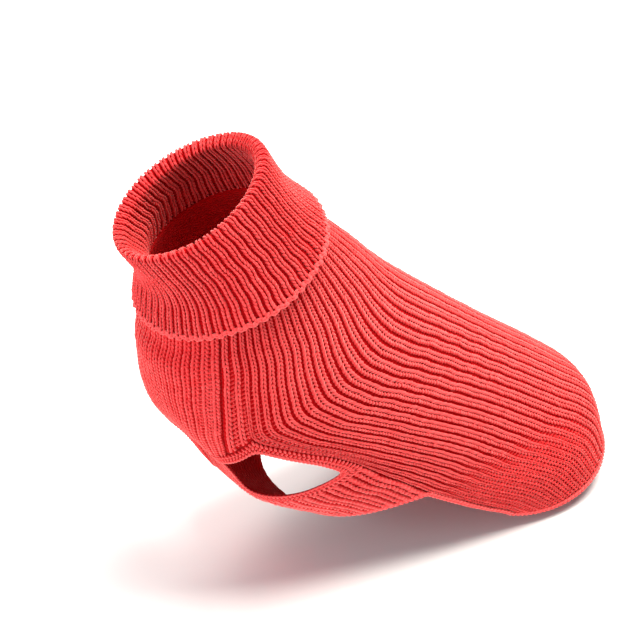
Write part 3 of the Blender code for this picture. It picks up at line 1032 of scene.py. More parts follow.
@dataclass(frozen=True)
class YarnFinish:
    """Matt twisted yarn: two plies with a soft halo of fibres.

    The part fields say how much each thing lightens the yarn between its two
    colours, from start.  The three level fields are painted shade: the yarn is
    lighter for each millimetre over the cloth, up to a most, so its low parts and
    the undersides of its strands are darker as if shaded.  The part for open
    knit over the haunches is painted shade too.
    """

    name: str = "yarn"
    deep: Colour = (0.66, 0.010, 0.014, 1.0)
    light: Colour = (0.92, 0.097, 0.098, 1.0)
    roughness: float = 0.82
    sheen: float = 0.44
    sheen_tint: Colour = (1.0, 0.77, 0.69, 1.0)
    sheen_roughness: float = 0.45
    specular: float = 0.12
    twist: float = 1.9
    painted_level_shade_part: float = 0.44
    painted_level_shade_start: float = 0.40
    painted_level_shade_most: float = 0.85
    ply_part: float = 0.06
    fibre_part: float = 0.30
    dye_part: float = 0.20
    tone_part: float = 0.12
    painted_haunch_shade_part: float = 0.32
    start: float = -0.25
    ply_relief: float = 0.55
    fibre_relief: float = 0.9
    bump: float = 0.55
    relief: float = 0.22 * MM

    def material(self) -> bpy.types.Material:
        """Make the material, which reads the notes that the strands carry.

        Returns:
            The material.
        """
        graph = Graph(self.name)
        cos, sin, run = graph.note("yarn")
        level, tone, depth = graph.note("lie")
        fibre, broad = graph.noise(*FIBRES), graph.noise(*DYE)
        phase = run * self.twist
        ply = (cos * cos - sin * sin) * phase.math("COSINE") + cos * sin * phase.math("SINE") * 2.0
        # Painted shade: yarn low over the cloth, and each strand's underside, is darker.
        shade = (level * self.painted_level_shade_part - self.painted_level_shade_start).math("MINIMUM", self.painted_level_shade_most)
        shade = shade + ply * self.ply_part + fibre * self.fibre_part + broad * self.dye_part
        # A random tone, and painted shade that deepens the open knit over the haunches.
        shade = shade + tone * self.tone_part - depth * self.painted_haunch_shade_part + self.start
        look = {
            "Base Color": graph.mix(self.deep, self.light, shade),
            "Roughness": self.roughness,
            "Sheen Weight": self.sheen,
            "Sheen Roughness": self.sheen_roughness,
            "Sheen Tint": self.sheen_tint,
            "Specular IOR Level": self.specular,
        }
        height = ply * self.ply_relief + fibre * self.fibre_relief
        graph.finish(look, height, self.bump, self.relief)
        return graph.material


@dataclass(frozen=True)
class ClothFinish:
    """The knit's ground, seen in the grooves and on the inside.

    Its two tones are a deeper, more saturated copy of the yarn's: painted shade
    for the ground that lies in the grooves.  The part fields say how much each
    thing lightens the ground, from start; the ridge part paints light under the
    ribs' middles and shade towards the grooves.
    """

    name: str = "knit_ground"
    # Painted shade: both tones are deeper and more saturated than the yarn's, for ground lying in the
    # grooves.
    deep: Colour = (0.42, 0.001, 0.003, 1.0)
    light: Colour = (0.80, 0.012, 0.016, 1.0)
    roughness: float = 0.95
    sheen: float = 0.05
    sheen_tint: Colour = (1.0, 0.55, 0.5, 1.0)
    sheen_roughness: float = 0.5
    specular: float = 0.05
    loop_slant: float = 0.55
    loop_part: float = 0.20
    painted_ridge_light_part: float = 0.55
    fibre_part: float = 0.30
    dye_part: float = 0.20
    inside_part: float = 0.25
    start: float = -0.40
    fibre_relief: float = 0.35
    bump: float = 0.8
    relief: float = 0.7 * MM

    def material(self) -> bpy.types.Material:
        """Make the material, with a row of loops drawn down each rib.

        Returns:
            The material.
        """
        graph = Graph(self.name)
        rib, stitch, outer = graph.note("knit")
        fibre, broad = graph.noise(*FIBRES), graph.noise(*DYE)
        across = (rib.math("FRACT") - 0.5).math("ABSOLUTE") * 2.0
        loops = ((stitch + across * self.loop_slant) * (2 * math.pi)).math("COSINE") * 0.5 + 0.5
        # Painted light under the ribs' middles, painted shade towards the grooves.
        painted_ridge_light = (1.0 - across) * 0.9
        shade = loops * self.loop_part + painted_ridge_light * self.painted_ridge_light_part * outer + fibre * self.fibre_part
        shade = shade + broad * self.dye_part + (1.0 - outer) * self.inside_part + self.start
        look = {
            "Base Color": graph.mix(self.deep, self.light, shade),
            "Roughness": self.roughness,
            "Sheen Weight": self.sheen,
            "Sheen Roughness": self.sheen_roughness,
            "Sheen Tint": self.sheen_tint,
            "Specular IOR Level": self.specular,
        }
        graph.finish(look, loops + fibre * self.fibre_relief, self.bump, self.relief)
        return graph.material


@dataclass(frozen=True)
class FloorFinish:
    """Plain pale ground under the sweater."""

    name: str = "pale_ground"
    colour: Colour = (0.84, 0.84, 0.85, 1.0)
    roughness: float = 0.95
    grain: float = 900.0
    bump: float = 0.05
    relief: float = 0.1 * MM

    def material(self) -> bpy.types.Material:
        """Make the material.

        Returns:
            The material.
        """
        graph = Graph(self.name)
        look = {"Base Color": self.colour, "Roughness": self.roughness}
        graph.finish(look, graph.noise(self.grain), self.bump, self.relief)
        return graph.material


# ------------------------------------------------------------------ the pieces


@dataclass(frozen=True)
class FlatCut:
    """Size of a cloth when it lies flat and slack, and how it is held here."""

    width: float
    length: float
    held: Held = Held.STRETCHED
    area: float | None = None


@dataclass(frozen=True)
class Dresser:
    """Puts the sweater's two finishes, the yarn's and the ground's with painted shade, on its pieces,
    which ride on its one body.
    """

    yarn: bpy.types.Material
    ground: bpy.types.Material

    def dress(self, piece: bpy.types.Object, material: bpy.types.Material, node: str) -> None:
        """Give a piece its material and body.

        Args:
            piece: the piece.
            material: its material.
            node: name of the solid that it belongs to, not used.
        """
        piece.data.materials.append(material)
        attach(piece, "root")
        LOG.info("%s: %d faces", piece.name, len(piece.data.polygons))


@dataclass
class Piece:
    """A knitted piece: one cloth in the place of its solid, with yarn laid on it."""

    flat: ClassVar[FlatCut]
    node: ClassVar[str]

    def cloth(self) -> bpy.types.Object:
        """Make the piece's cloth."""
        raise NotImplementedError

    def stitches(self) -> dict[str, Strands]:
        """Lay the piece's stitches, by the names of their parts."""
        raise NotImplementedError

    def hem_chain(self) -> dict[str, Strands]:
        """Lay the chain of the piece's hem, by its name: here none."""
        return {}

    def build_cloth(self, dresser: Dresser) -> bpy.types.Object:
        """Build and dress the cloth.

        Args:
            dresser: what dresses it.

        Returns:
            The cloth.
        """
        cloth = self.cloth()
        dresser.dress(cloth, dresser.ground, self.node)
        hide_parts(self.node)
        return cloth

    def build_yarn(self, dresser: Dresser, laid: dict[str, Strands]) -> list[bpy.types.Object]:
        """Build and dress the yarn laid on the cloth.

        Args:
            dresser: what dresses it.
            laid: the yarn, by the names of its parts.

        Returns:
            One piece for each part.
        """
        made = [strands.build(f"{self.node}_{part}") for part, strands in laid.items()]
        for piece in made:
            dresser.dress(piece, dresser.yarn, self.node)
        return made

    def state_cut(self, cloth: bpy.types.Object, yarn: list[bpy.types.Object]) -> None:
        """Do nothing: the cut of the cloth is not stated here.

        Args:
            cloth: the cloth, not used.
            yarn: the pieces of yarn on it, not used.
        """


@dataclass
class RibbedPiece(Piece):
    """A piece in rib: where its ribs run, how open they lie, its cloth and stitches.

    A nominal place runs down the ribs from 0 to last.  Rib numbers go across
    them and are whole in the grooves.
    """

    surface: Surface
    last: float = 3.0
    ribs_uncut: int = 0
    form: StitchForm = StitchForm()
    ground: Ground = Ground()
    wander: float = 0.05
    wraps: bool = False
    uneven: Unevenness = Unevenness()
    bar_form: BarForm = BarForm()
    points_a_rib: int = 4
    row_samples: int = 241
    half_rib: float = 0.45
    rng: np.random.Generator = field(default_factory=lambda: np.random.default_rng(SEED))

    def __post_init__(self) -> None:
        """Count the rows of stitches down the piece, over its full ribs."""
        nominal = np.linspace(0.0, self.last, self.row_samples)
        points = self.surface.point(*self.place(*np.meshgrid(nominal, self.full_ribs, indexing="ij")))
        step = np.linalg.norm(np.diff(points, axis=0), axis=-1).mean(axis=1)
        pitch = cell_middles(self.form.pitch * (1 + self.stretch(nominal)))
        self.rows = Rows(nominal, np.concatenate([[0.0], np.cumsum(step / pitch)]))

    @property
    def full_ribs(self) -> Array:
        """Middles of the ribs that run the whole way."""
        return np.arange(-self.ribs_uncut, self.ribs_uncut) + 0.5

    def place(self, nominal: Array, rib: Array) -> Pair:
        """Places on the surface of nominal places and rib numbers."""
        raise NotImplementedError

    def cells(self) -> tuple[Array, Array, Array]:
        """Grid of the cloth: nominal places, rib numbers, and which cells are cloth."""
        raise NotImplementedError

    def openness(self, nominal: Array, rib: Array) -> Array:
        """How open the knit lies, 0 for close to 1: here close everywhere."""
        return np.zeros(np.broadcast(nominal, rib).shape)

    def spreading(self, nominal: Array) -> Array:
        """How far the ribs lie flat and broad: here nowhere."""
        return np.zeros_like(nominal)

    def stretch(self, nominal: Array) -> Array:
        """Share by which rows lie further apart: here nowhere."""
        return np.zeros_like(nominal)

    def across(self, half: int) -> Array:
        """Rib numbers of the grid's columns, as far as half to both sides."""
        return np.linspace(-half, half, 2 * half * self.points_a_rib + 1)

    def cloth(self) -> bpy.types.Object:
        """Make the piece's cloth.

        Returns:
            The cloth.
        """
        nominal, rib, kept = self.cells()
        at, ribs = np.meshgrid(nominal, rib, indexing="ij")
        places, heights = self.place(at, ribs), self.ground.heights(ribs, self.openness(at, ribs))
        knit = np.stack([ribs, self.rows.number(at)], axis=-1)
        points = tuple(self.surface.point(*places, height) for height in heights)
        return closed_cloth(f"{self.node}_cloth", points, kept, knit, self.wraps)

    def sway(self, rib: Array, row: Array) -> Array:
        """How far a worn rib wanders to its side, in shares of its width.

        Args:
            rib: the ribs' middles.
            row: row numbers of the stitches.

        Returns:
            The share for each stitch.
        """
        uneven = self.uneven
        swell = uneven.sway_least + uneven.sway_swell * np.sin(
            row * uneven.swell_a_row + rib * uneven.swell_a_rib
        )
        return self.wander * (np.sin(row * self.form.sway + rib * uneven.sway_a_rib) * swell)

    def lay(self, strands: Strands, ribs: Array, rows: Rows) -> None:
        """Lay the two legs of every stitch of some ribs.

        Args:
            strands: where the yarn goes.
            ribs: the ribs' middles.
            rows: the rows of stitches down them.
        """
        form, uneven = self.form, self.uneven
        rib, stitch = rows.stitches(ribs, *form.left_out)
        part = np.linspace(0.0, 1.0, form.stations)
        middle = rows.place(stitch)
        shares = self.spreading(middle)[:, None], self.openness(middle, rib)[:, None]
        root, tip, reach, yarn, crest, rise, shoulder = Lie.mix(
            (form.close, form.spread, form.open), shares
        )
        down = stitch[:, None] + (part - 0.5) * reach
        at = rows.place(np.clip(down, rows.row[0] + form.margin, rows.row[-1] - form.margin))
        low, high = (
            self.surface.point(*self.place(at[:, 1], rib + side * self.half_rib)) for side in (-1, 1)
        )
        width = np.linalg.norm(high - low, axis=-1)[:, None] / (2 * self.half_rib)
        size = self.rng.normal(1.0, uneven.size, (len(rib), 1))
        radius = np.broadcast_to(yarn * width * size, down.shape)
        bow = np.clip(part * form.bow_reach + form.bow_start, 0, 1)
        arch = rise * np.sin(math.pi * bow) ** form.bow_power
        sway = self.sway(rib, stitch)
        for side in (-1.0, 1.0):
            lean = root + (tip - root) * part**form.parting
            offset = side * lean + (sway + self.rng.normal(0, uneven.offset, len(rib)))[:, None]
            first, turn = self.place(at, rib[:, None] + offset)
            height = crest * (1 - shoulder * (np.abs(offset) / 0.5) ** 2) + arch * size
            height = height + self.rng.normal(-uneven.sinking, uneven.height, (len(rib), 1))
            # Its last value is painted shade: open, spread knit over the haunches is deepened as if
            # shaded.
            strands.add(
                self.surface.point(first, turn, height), self.surface.normal(first, turn),
                radius, height, form.flat, form.joined, np.prod(shares, axis=0)[:, 0],
            )

    def lay_bars(self, strands: Strands, ribs: Array, rows: Rows) -> None:
        """Lay the short bars that show between ribs where the knit lies open.

        Args:
            strands: where the yarn goes.
            ribs: the grooves, as rib numbers.
            rows: the rows of stitches down them.
        """
        form, uneven = self.bar_form, self.uneven
        rib, stitch = rows.stitches(ribs, *form.left_out)
        middle = rows.place(stitch)
        open_by = self.openness(middle, rib)
        # Painted shade: the bars of open, spread knit over the haunches are deepened too.
        depth = open_by * self.spreading(middle)
        part = np.linspace(-1.0, 1.0, form.stations)
        for bar in form.bars:
            kept = (open_by > form.least_open) & (open_by > bar.least_open)
            loose = open_by[kept, None]
            down = stitch[kept] + bar.rows_late + self.rng.normal(0, uneven.bar_place, kept.sum())
            at = rows.place(down[:, None] + bar.bend * part**2)
            first, turn = self.place(at, rib[kept, None] + part * bar.half_reach)
            height = (form.low + form.rise * loose - form.sag * part**2) * MM
            size = self.rng.normal(1.0, uneven.size, kept.sum())[:, None]
            radius = np.broadcast_to((form.yarn + form.open_yarn * loose) * size * MM, at.shape)
            strands.add(
                self.surface.point(first, turn, height), self.surface.normal(first, turn),
                radius, height, depth=depth[kept],
            )


class OpenPatch(NamedTuple):
    """A patch of looser stitches: its middle rib and place, its reach, how open it is."""

    rib: float
    rib_reach: float
    place: float
    place_reach: float
    share: float

    def at(self, place: Array, rib: Array) -> Array:
        """How open the patch makes the knit at some places."""
        reach = (rib, self.rib, self.rib_reach), (place, self.place, self.place_reach)
        return self.share * bell(*reach)


@dataclass(frozen=True)
class Haunch:
    """Where the knit over the haunches opens, spreads and stretches, by place and rib.

    It opens from a place down the side ribs, and later by a step on each rib
    nearer to the middle.  Each change is spread over a width.
    """

    opens: float = 4.62
    opens_width: float = 0.20
    side_rib: float = 17.0
    later_a_rib: float = 0.09
    first_rib: float = 9.5
    rib_width: float = 1.2
    spreads: float = 4.6
    spreads_width: float = 0.35
    stretches: float = 4.9
    stretches_width: float = 0.3
    stretch: float = 0.50
    leg_stretch: float = 0.28
    leg_place: float = 1.9
    leg_reach: float = 1.0

    def openness(self, nominal: Array, rib: Array) -> Array:
        """How far the haunch opens the knit at nominal places and ribs."""
        start = self.opens + self.later_a_rib * np.maximum(self.side_rib - rib, 0.0)
        return rising(nominal - start, self.opens_width) * rising(rib - self.first_rib, self.rib_width)


class StitchShare(NamedTuple):
    """The ribs of the back, from one number to another, whose stitches are one piece."""

    name: str
    low: int
    high: int
    side: Side | None = None


@dataclass
class BackPanel(RibbedPiece):
    """The back panel, from side seam to side seam over the back.

    Its nominal places are alongs, as if the hem had no rounded corners.  Its ribs
    are 0 on the middle line and above 0 on the left.
    """

    node: ClassVar[str] = "back_panel"
    flat: ClassVar[FlatCut] = FlatCut(0.40, 0.36, Held.STRETCHED, 0.12)
    shares: ClassVar[tuple[StitchShare, ...]] = (
        StitchShare("left", 8, 22, Side.LEFT),
        StitchShare("upper", -8, 8),
        StitchShare("right", -22, -8, Side.RIGHT),
    )

    cut: Cut = CUT
    last: float = CUT.hem
    ribs_half: int = 24
    ribs_uncut: int = 22
    rib_crowding: float = 0.15
    edge_fit: int = 6
    haunch: Haunch = Haunch()
    patches: tuple[OpenPatch, ...] = (
        OpenPatch(21.0, 2.6, 2.5, 0.9, 0.9),    # behind the leg openings
        OpenPatch(23.5, 2.2, 1.4, 0.8, 0.6),    # beside the seams before them
    )
    hem: HemForm = HemForm(0.7 * MM, 0.9 * MM)

    def place(self, nominal: Array, rib: Array) -> Pair:
        """Place ribs of the panel on the body.

        Args:
            nominal: nominal places down the ribs.
            rib: rib numbers.

        Returns:
            The alongs and turns of the places.
        """
        cut = self.cut
        nominal, rib = paired(nominal, rib)
        side, rib = np.sign(rib), np.abs(rib)
        across = np.minimum(rib / self.ribs_uncut, 1.0)
        fitted = nominal
        for corner in cut.corners:
            late = (nominal / self.last) ** corner.late_power
            fitted = fitted - corner.depth * across**corner.across_power * late
        sewn = (nominal >= cut.opening_end) & (nominal <= cut.belly_hem_seam)
        edge = edge_turn(fitted) - HALF_GAP_TURN * sewn
        even = ring_turn("flow", fitted) * self.ribs_uncut / self.ribs_half
        turn = even * across * (1 + self.rib_crowding * (1 - across**2))
        turn = turn + (edge - even) * across**self.edge_fit
        past = np.clip((rib - self.ribs_uncut) / (self.ribs_half - self.ribs_uncut), 0.0, 1.0)
        bend = (np.minimum(nominal, cut.opening_start) / cut.opening_start) ** cut.row_bend
        bent = nominal + (cut.opening_seam - cut.opening_start) * past * bend
        start = edge_turn(nominal)
        cut_turn = start + (ring_turn("seam", bent) - HALF_GAP_TURN - start) * past
        is_cut = rib > self.ribs_uncut + 1e-6
        return np.where(is_cut, bent, fitted), side * np.where(is_cut, cut_turn, turn)

    def openness(self, nominal: Array, rib: Array) -> Array:
        """How open the knit lies: over the haunches and by the seams.

        Args:
            nominal: nominal places down the ribs.
            rib: rib numbers.

        Returns:
            A share from 0, close, to 1, open, for each place.
        """
        rib = np.abs(rib)
        share = self.haunch.openness(nominal, rib)
        for patch in self.patches:
            share = share + patch.at(nominal, rib)
        return np.clip(share, 0.0, 1.0)

    def spreading(self, nominal: Array) -> Array:
        """How far the ribs lie flat and broad: towards the rear hem."""
        return rising(nominal - self.haunch.spreads, self.haunch.spreads_width)

    def stretch(self, nominal: Array) -> Array:
        """Share by which rows lie further apart: on the haunches and by the legs.

        Args:
            nominal: nominal places down the ribs.

        Returns:
            The share at each place.
        """
        form = self.haunch
        rear = form.stretch * rising(nominal - form.stretches, form.stretches_width)
        return rear + form.leg_stretch * bell((nominal, form.leg_place, form.leg_reach))

    def cells(self) -> tuple[Array, Array, Array]:
        """Grid of the cloth, notched at the leg openings.

        Returns:
            Nominal places, rib numbers, and which cells are cloth.
        """
        start = self.cut.opening_start
        nominal, rib = steps((0.0, start, 26), (start, self.last, 60)), self.across(self.ribs_half)
        is_uncut = np.abs(cell_middles(rib)) < self.ribs_uncut
        return nominal, rib, (cell_middles(nominal) < start)[:, None] | is_uncut

    def stitches(self) -> dict[str, Strands]:
        """Lay the panel's stitches, in three shares.

        Returns:
            The stitches, by the names of their parts.
        """
        front = self.rows.between(0.0, self.cut.opening_start)
        laid = {}
        for share in self.shares:
            strands = laid[f"stitches_{share.name}"] = Strands()
            self.lay(strands, np.arange(share.low, share.high) + 0.5, self.rows)
            grooves = np.arange(max(share.low, 1 - self.ribs_uncut), share.high)
            self.lay_bars(strands, grooves, self.rows)
            if share.side:
                cut_ribs = (np.arange(self.ribs_uncut, self.ribs_half) + 0.5) * share.side.value
                self.lay(strands, cut_ribs, front)
                self.lay_bars(strands, np.round(cut_ribs - 0.5), front)
        return laid

    def hem_chain(self) -> dict[str, Strands]:
        """Lay the chain down a flank, along the hem and back up the other flank.

        Returns:
            The chain, by its name.
        """
        flank = np.linspace(self.cut.belly_hem_seam, self.last, 130)[:-1]
        rib = np.linspace(self.ribs_uncut, -self.ribs_uncut, 400)
        edge = np.full(flank.shape, float(self.ribs_uncut))
        at = np.concatenate([flank, np.full(rib.shape, self.last), flank[::-1]])
        places = self.place(at, np.concatenate([edge, rib, -edge]))
        return {"hem_chain": self.hem.chain_on(self.surface, places, smoothing=16)}


@dataclass
class ChestPanel(RibbedPiece):
    """The chest panel, its strip between the legs and its belly part.

    A nominal place of it runs from 0 to 1 down to the leg openings, to 2 between
    them and to 3 behind them.  Its ribs are 0 on the middle line and above 0 on
    the right.
    """

    node: ClassVar[str] = "chest_panel"
    flat: ClassVar[FlatCut] = FlatCut(0.16, 0.24, Held.STRETCHED, 0.025)

    cut: Cut = CUT
    ribs_half: int = 8
    ribs_uncut: int = 3
    belly_half: int = 12
    ground: Ground = Ground(rise=0.6 * MM, roundness=3, hollow=0.3 * MM, flattening=0.0)
    form: StitchForm = StitchForm(
        pitch=3.0 * MM,
        close=Lie(0.060, 0.340, 1.50, 0.168, 0.85 * MM, 0.20 * MM, 0.10),
        open=Lie(0.045, 0.270, 1.25, 0.155, 1.00 * MM, 0.50 * MM, 0.30),
    )
    patch: OpenPatch = OpenPatch(7.2, 1.8, 0.65, 0.38, 0.9)
    patch_end: float = 1.2
    uncut_turn: tuple[tuple[float], ...] = (
        (0.104,), (0.088,), (0.066,), (0.056,), (0.088,), (0.094,),
    )
    hem: HemForm = HemForm(0.6 * MM, 0.8 * MM)

    def place(self, nominal: Array, rib: Array) -> Pair:
        """Place ribs of the panel on the body.

        Args:
            nominal: nominal places down the ribs.
            rib: rib numbers.

        Returns:
            The alongs and turns of the places.
        """
        cut = self.cut
        part, rib = paired(nominal, rib)
        side, rib = np.sign(rib), np.abs(rib)
        over = np.maximum(rib - self.ribs_uncut, 0.0)
        past_front = np.clip(over / (self.ribs_half - self.ribs_uncut), 0.0, 1.0)
        past_rear = np.clip(over / (self.belly_half - self.ribs_uncut), 0.0, 1.0)
        end = cut.opening_chest + (cut.opening_seam - cut.opening_chest) * past_front
        early = np.clip(part, 0.0, 1.0)
        front = early * cut.opening_start + (end - cut.opening_start) * early**cut.row_bend
        strip = cut.opening_chest + (cut.opening_end - cut.opening_chest) * (part - 1.0)
        longer = (cut.belly_hem_seam - cut.belly_hem_middle) * past_rear**cut.belly_hem_power
        rear = cut.opening_end + (cut.belly_hem_middle + longer - cut.opening_end) * (part - 2.0)
        along = np.where(part <= 1.0, front, np.where(part < 2.0, strip, rear))
        past = np.where(part <= 1.0, past_front, np.where(part < 2.0, 0.0, past_rear))
        border = np.where(part <= 1.0, ring_turn("seam", along), edge_turn(along))
        reach = 1.0 - border - HALF_GAP_TURN
        uncut = smooth_table(self.uncut_turn, along)[..., 0]
        offset = uncut * np.minimum(rib / self.ribs_uncut, 1.0) + (reach - uncut) * past
        return along, 1.0 + side * offset

    def openness(self, nominal: Array, rib: Array) -> Array:
        """How open the knit lies: in the columns next to the side seams.

        Args:
            nominal: nominal places down the ribs.
            rib: rib numbers.

        Returns:
            A share from 0, close, to 1, open, for each place.
        """
        part, rib = paired(nominal, np.abs(rib))
        return np.clip(self.patch.at(part, rib) * (part < self.patch_end), 0.0, 1.0)

    def cells(self) -> tuple[Array, Array, Array]:
        """Grid of the cloth, narrow between the legs.

        Returns:
            Nominal places, rib numbers, and which cells are cloth.
        """
        part, rib = steps((0, 1, 30), (1, 2, 14), (2, 3, 18)), self.across(self.belly_half)
        middle = cell_middles(part)[:, None]
        behind = np.where(middle < 2, self.ribs_uncut, self.belly_half)
        return part, rib, np.abs(cell_middles(rib)) < np.where(middle < 1, self.ribs_half, behind)

    def stitches(self) -> dict[str, Strands]:
        """Lay the panel's stitches.

        Returns:
            The stitches, by their name.
        """
        front, rear = self.rows.between(0.0, 1.0), self.rows.between(2.0, 3.0)
        strands = Strands()
        self.lay(strands, self.full_ribs, self.rows)
        for side in (-1, 1):
            chest, belly = (
                side * (np.arange(self.ribs_uncut, half) + 0.5)
                for half in (self.ribs_half, self.belly_half)
            )
            self.lay(strands, chest, front)
            self.lay(strands, belly, rear)
            self.lay_bars(strands, np.round(chest - side * 0.5), front)
        return {"stitches": strands}

    def hem_chain(self) -> dict[str, Strands]:
        """Lay the chain of the belly hem."""
        places = self.place(self.last, np.linspace(self.belly_half, -self.belly_half, 200))
        return {"hem_chain": self.hem.chain_on(self.surface, places)}


@dataclass
class Collar(RibbedPiece):
    """The turned-down collar: outer layer, fold and stand in one cloth.

    Its nominal place goes up the outer layer from 0 to 1, over the fold to 2 and
    down the stand to 3.
    """

    node: ClassVar[str] = "collar"
    flat: ClassVar[FlatCut] = FlatCut(0.36, 0.13, Held.FOLDED, 0.045)

    ribs: int = 56
    wander: float = 0.085
    wraps: bool = True
    ground: Ground = Ground(0.1 * MM, 0.6 * MM, 1.6, -0.9 * MM, hollow=0.0, flattening=0.0)
    form: StitchForm = StitchForm(
        pitch=2.8 * MM,
        close=Lie(0.090, 0.300, 1.60, 0.128, 1.50 * MM, 0.38 * MM, 0.90),
        sway=0.93,
        parting=0.9,
        joined=0.45,
    )
    edge_columns: int = 560
    scallop_height: tuple[float, float] = (0.7, 0.5)
    scallop_reach: tuple[float, float] = (0.1, 0.8)
    chain: Chain = Chain(3.86 * MM, 0.95 * MM, closed=True)

    @property
    def full_ribs(self) -> Array:
        """Middles of the ribs that run the whole way."""
        return np.arange(self.ribs) + 0.5

    def place(self, nominal: Array, rib: Array) -> Pair:
        """Places on the collar's surface of nominal places and rib numbers."""
        return nominal, rib * 2.0 / self.ribs

    def cells(self) -> tuple[Array, Array, Array]:
        """Grid of the cloth, all of its cells kept.

        Returns:
            Nominal places, rib numbers, and which cells are cloth.
        """
        level = steps((0, 1, 20), (1, 2, 9), (2, 3, 16))
        rib = np.arange(self.ribs * self.points_a_rib) / self.points_a_rib
        return level, rib, np.ones((len(level) - 1, len(rib)), bool)

    def stitches(self) -> dict[str, Strands]:
        """Lay the collar's stitches and its scalloped edge.

        Returns:
            The stitches, by their name.
        """
        strands = Strands()
        self.lay(strands, self.full_ribs, self.rows)
        turn = np.linspace(0, 2, self.edge_columns + 1)[:-1]
        scallop = np.cos(turn * math.pi * self.ribs)
        height, reach = (
            (mean - swing * scallop) * MM for mean, swing in (self.scallop_height, self.scallop_reach)
        )
        outward = self.surface.normal(0.0, turn)
        line = push_out(self.surface.point(0.0, turn, height), outward, reach)
        self.chain.lay(strands, line, outward)
        return {"stitches": strands}


@dataclass
class LegBand(Piece):
    """The knitted edging of one leg opening: three rows of stitches and a chain.

    Each row of stitches runs from one share of the band's width to another.
    """

    flat: ClassVar[FlatCut] = FlatCut(0.23, 0.012)

    body: Surface
    back: BackPanel
    chest: ChestPanel
    side: Side
    inner_share: float = 0.80
    smoothing: int = 24
    tuck: float = 0.03
    columns: int = 160
    rings: int = 9
    face: tuple[float, float] = (0.5, 0.7)
    inside: float = -1.25
    rows: tuple[tuple[float, float], ...] = ((-0.04, 0.36), (0.32, 0.68), (0.64, 0.98))
    row_shift: float = 0.95
    stitch_step: float = 1.9
    stitch_height: tuple[float, float] = (0.9, 0.7)
    yarn: float = 0.88 * MM
    chain_height: float = 0.1 * MM
    chain: Chain = Chain(3.2 * MM, 0.8 * MM, closed=True)

    def __post_init__(self) -> None:
        """Set out the band between its outer and its inner border."""
        outer = self.border()
        centre = outer.mean(axis=0)
        inner = centre + (outer - centre) * self.inner_share
        for _ in range(self.smoothing):
            inner = (np.roll(inner, 1, 0) + 2 * inner + np.roll(inner, -1, 0)) / 4
        outer = outer + (inner - outer) * self.tuck
        if self.side is Side.RIGHT:
            outer[:, 1], inner[:, 1] = 2 - outer[:, 1], 2 - inner[:, 1]
        self.outer, self.inner = outer, inner

    @property
    def node(self) -> str:
        """Name of the band's solid."""
        return f"leg_band_{self.side.name.lower()}"

    def border(self) -> Array:
        """Set out even places round the left opening, along the panels' edges.

        Returns:
            The places as along and turn, one row each.
        """
        back, chest, cut = self.back, self.chest, self.back.cut
        runs = [
            back.place(np.linspace(cut.opening_end, cut.opening_start, 40), back.ribs_uncut),
            back.place(cut.opening_start, np.linspace(back.ribs_uncut + 0.01, back.ribs_half, 8)),
            chest.place(1.0, -np.linspace(chest.ribs_half, chest.ribs_uncut, 20)),
            chest.place(np.linspace(1.0, 2.0, 20), -float(chest.ribs_uncut)),
            chest.place(2.0, -np.linspace(chest.ribs_uncut, chest.belly_half, 26)),
        ]
        places = np.concatenate([np.stack(np.broadcast_arrays(*run), axis=-1)[1:] for run in runs])
        places = np.vstack([places, places[:1]])
        run = run_along(places * (ALONG_TO_METRES, TURN_TO_METRES))
        return read_line(places, run, np.linspace(0.0, run[-1], self.columns + 1)[:-1])

    def cloth(self) -> bpy.types.Object:
        """Make the band's cloth.

        Returns:
            The cloth.
        """
        share = np.linspace(0.0, 1.0, self.rings)[:, None]
        places = self.outer * (1 - share[..., None]) + self.inner * share[..., None]
        along, turn = np.moveaxis(places, -1, 0)
        edge, rise = self.face
        upper = self.body.point(along, turn, (edge + rise * np.sin(math.pi * share)) * MM)
        lower = self.body.point(along, turn, self.inside * MM)
        stitch = np.arange(self.columns) * 0.5
        knit = np.stack(np.broadcast_arrays(share * len(self.rows), stitch), axis=-1)
        if self.side is Side.RIGHT:
            upper, lower, knit = upper[:, ::-1], lower[:, ::-1], knit[:, ::-1]
        kept = np.ones((self.rings - 1, self.columns), bool)
        return closed_cloth(f"{self.node}_cloth", (upper, lower), kept, knit, wraps=True)

    def stitches(self) -> dict[str, Strands]:
        """Lay the rows of slanted stitches round the band, and its chain.

        Returns:
            The stitches, by their name.
        """
        strands = Strands()
        number = np.arange(0, self.columns, self.stitch_step)[:, None]
        part = np.linspace(-0.5, 0.5, 4)
        ends, rise = self.stitch_height
        height = (ends + rise * np.cos(math.pi * part)) * MM
        for row, (start, stop) in enumerate(self.rows):
            slant = part if row % 2 else -part
            at = np.mod(number + slant + row * self.row_shift, self.columns)
            low = at.astype(int)
            high, rest = (low + 1) % self.columns, (at - low)[..., None]
            edge_a, edge_b = (
                edge[low] * (1 - rest) + edge[high] * rest for edge in (self.outer, self.inner)
            )
            reach = (start + (stop - start) * (part + 0.5))[None, :, None]
            along, turn = np.moveaxis(edge_a * (1 - reach) + edge_b * reach, -1, 0)
            middle, outward = self.body.point(along, turn, height), self.body.normal(along, turn)
            strands.add(middle, outward, np.full(at.shape, self.yarn), height)
        line = self.body.point(*self.inner.T, self.chain_height)
        self.chain.lay(strands, line, self.body.normal(*self.inner.T))
        return {"stitches": strands}


# ------------------------------------------------------------------ studio


class Lamp(NamedTuple):
    """A square soft lamp: its place, its side, its power and its colour."""

    name: str
    place: Triple
    size: float
    power: float
    colour: Triple


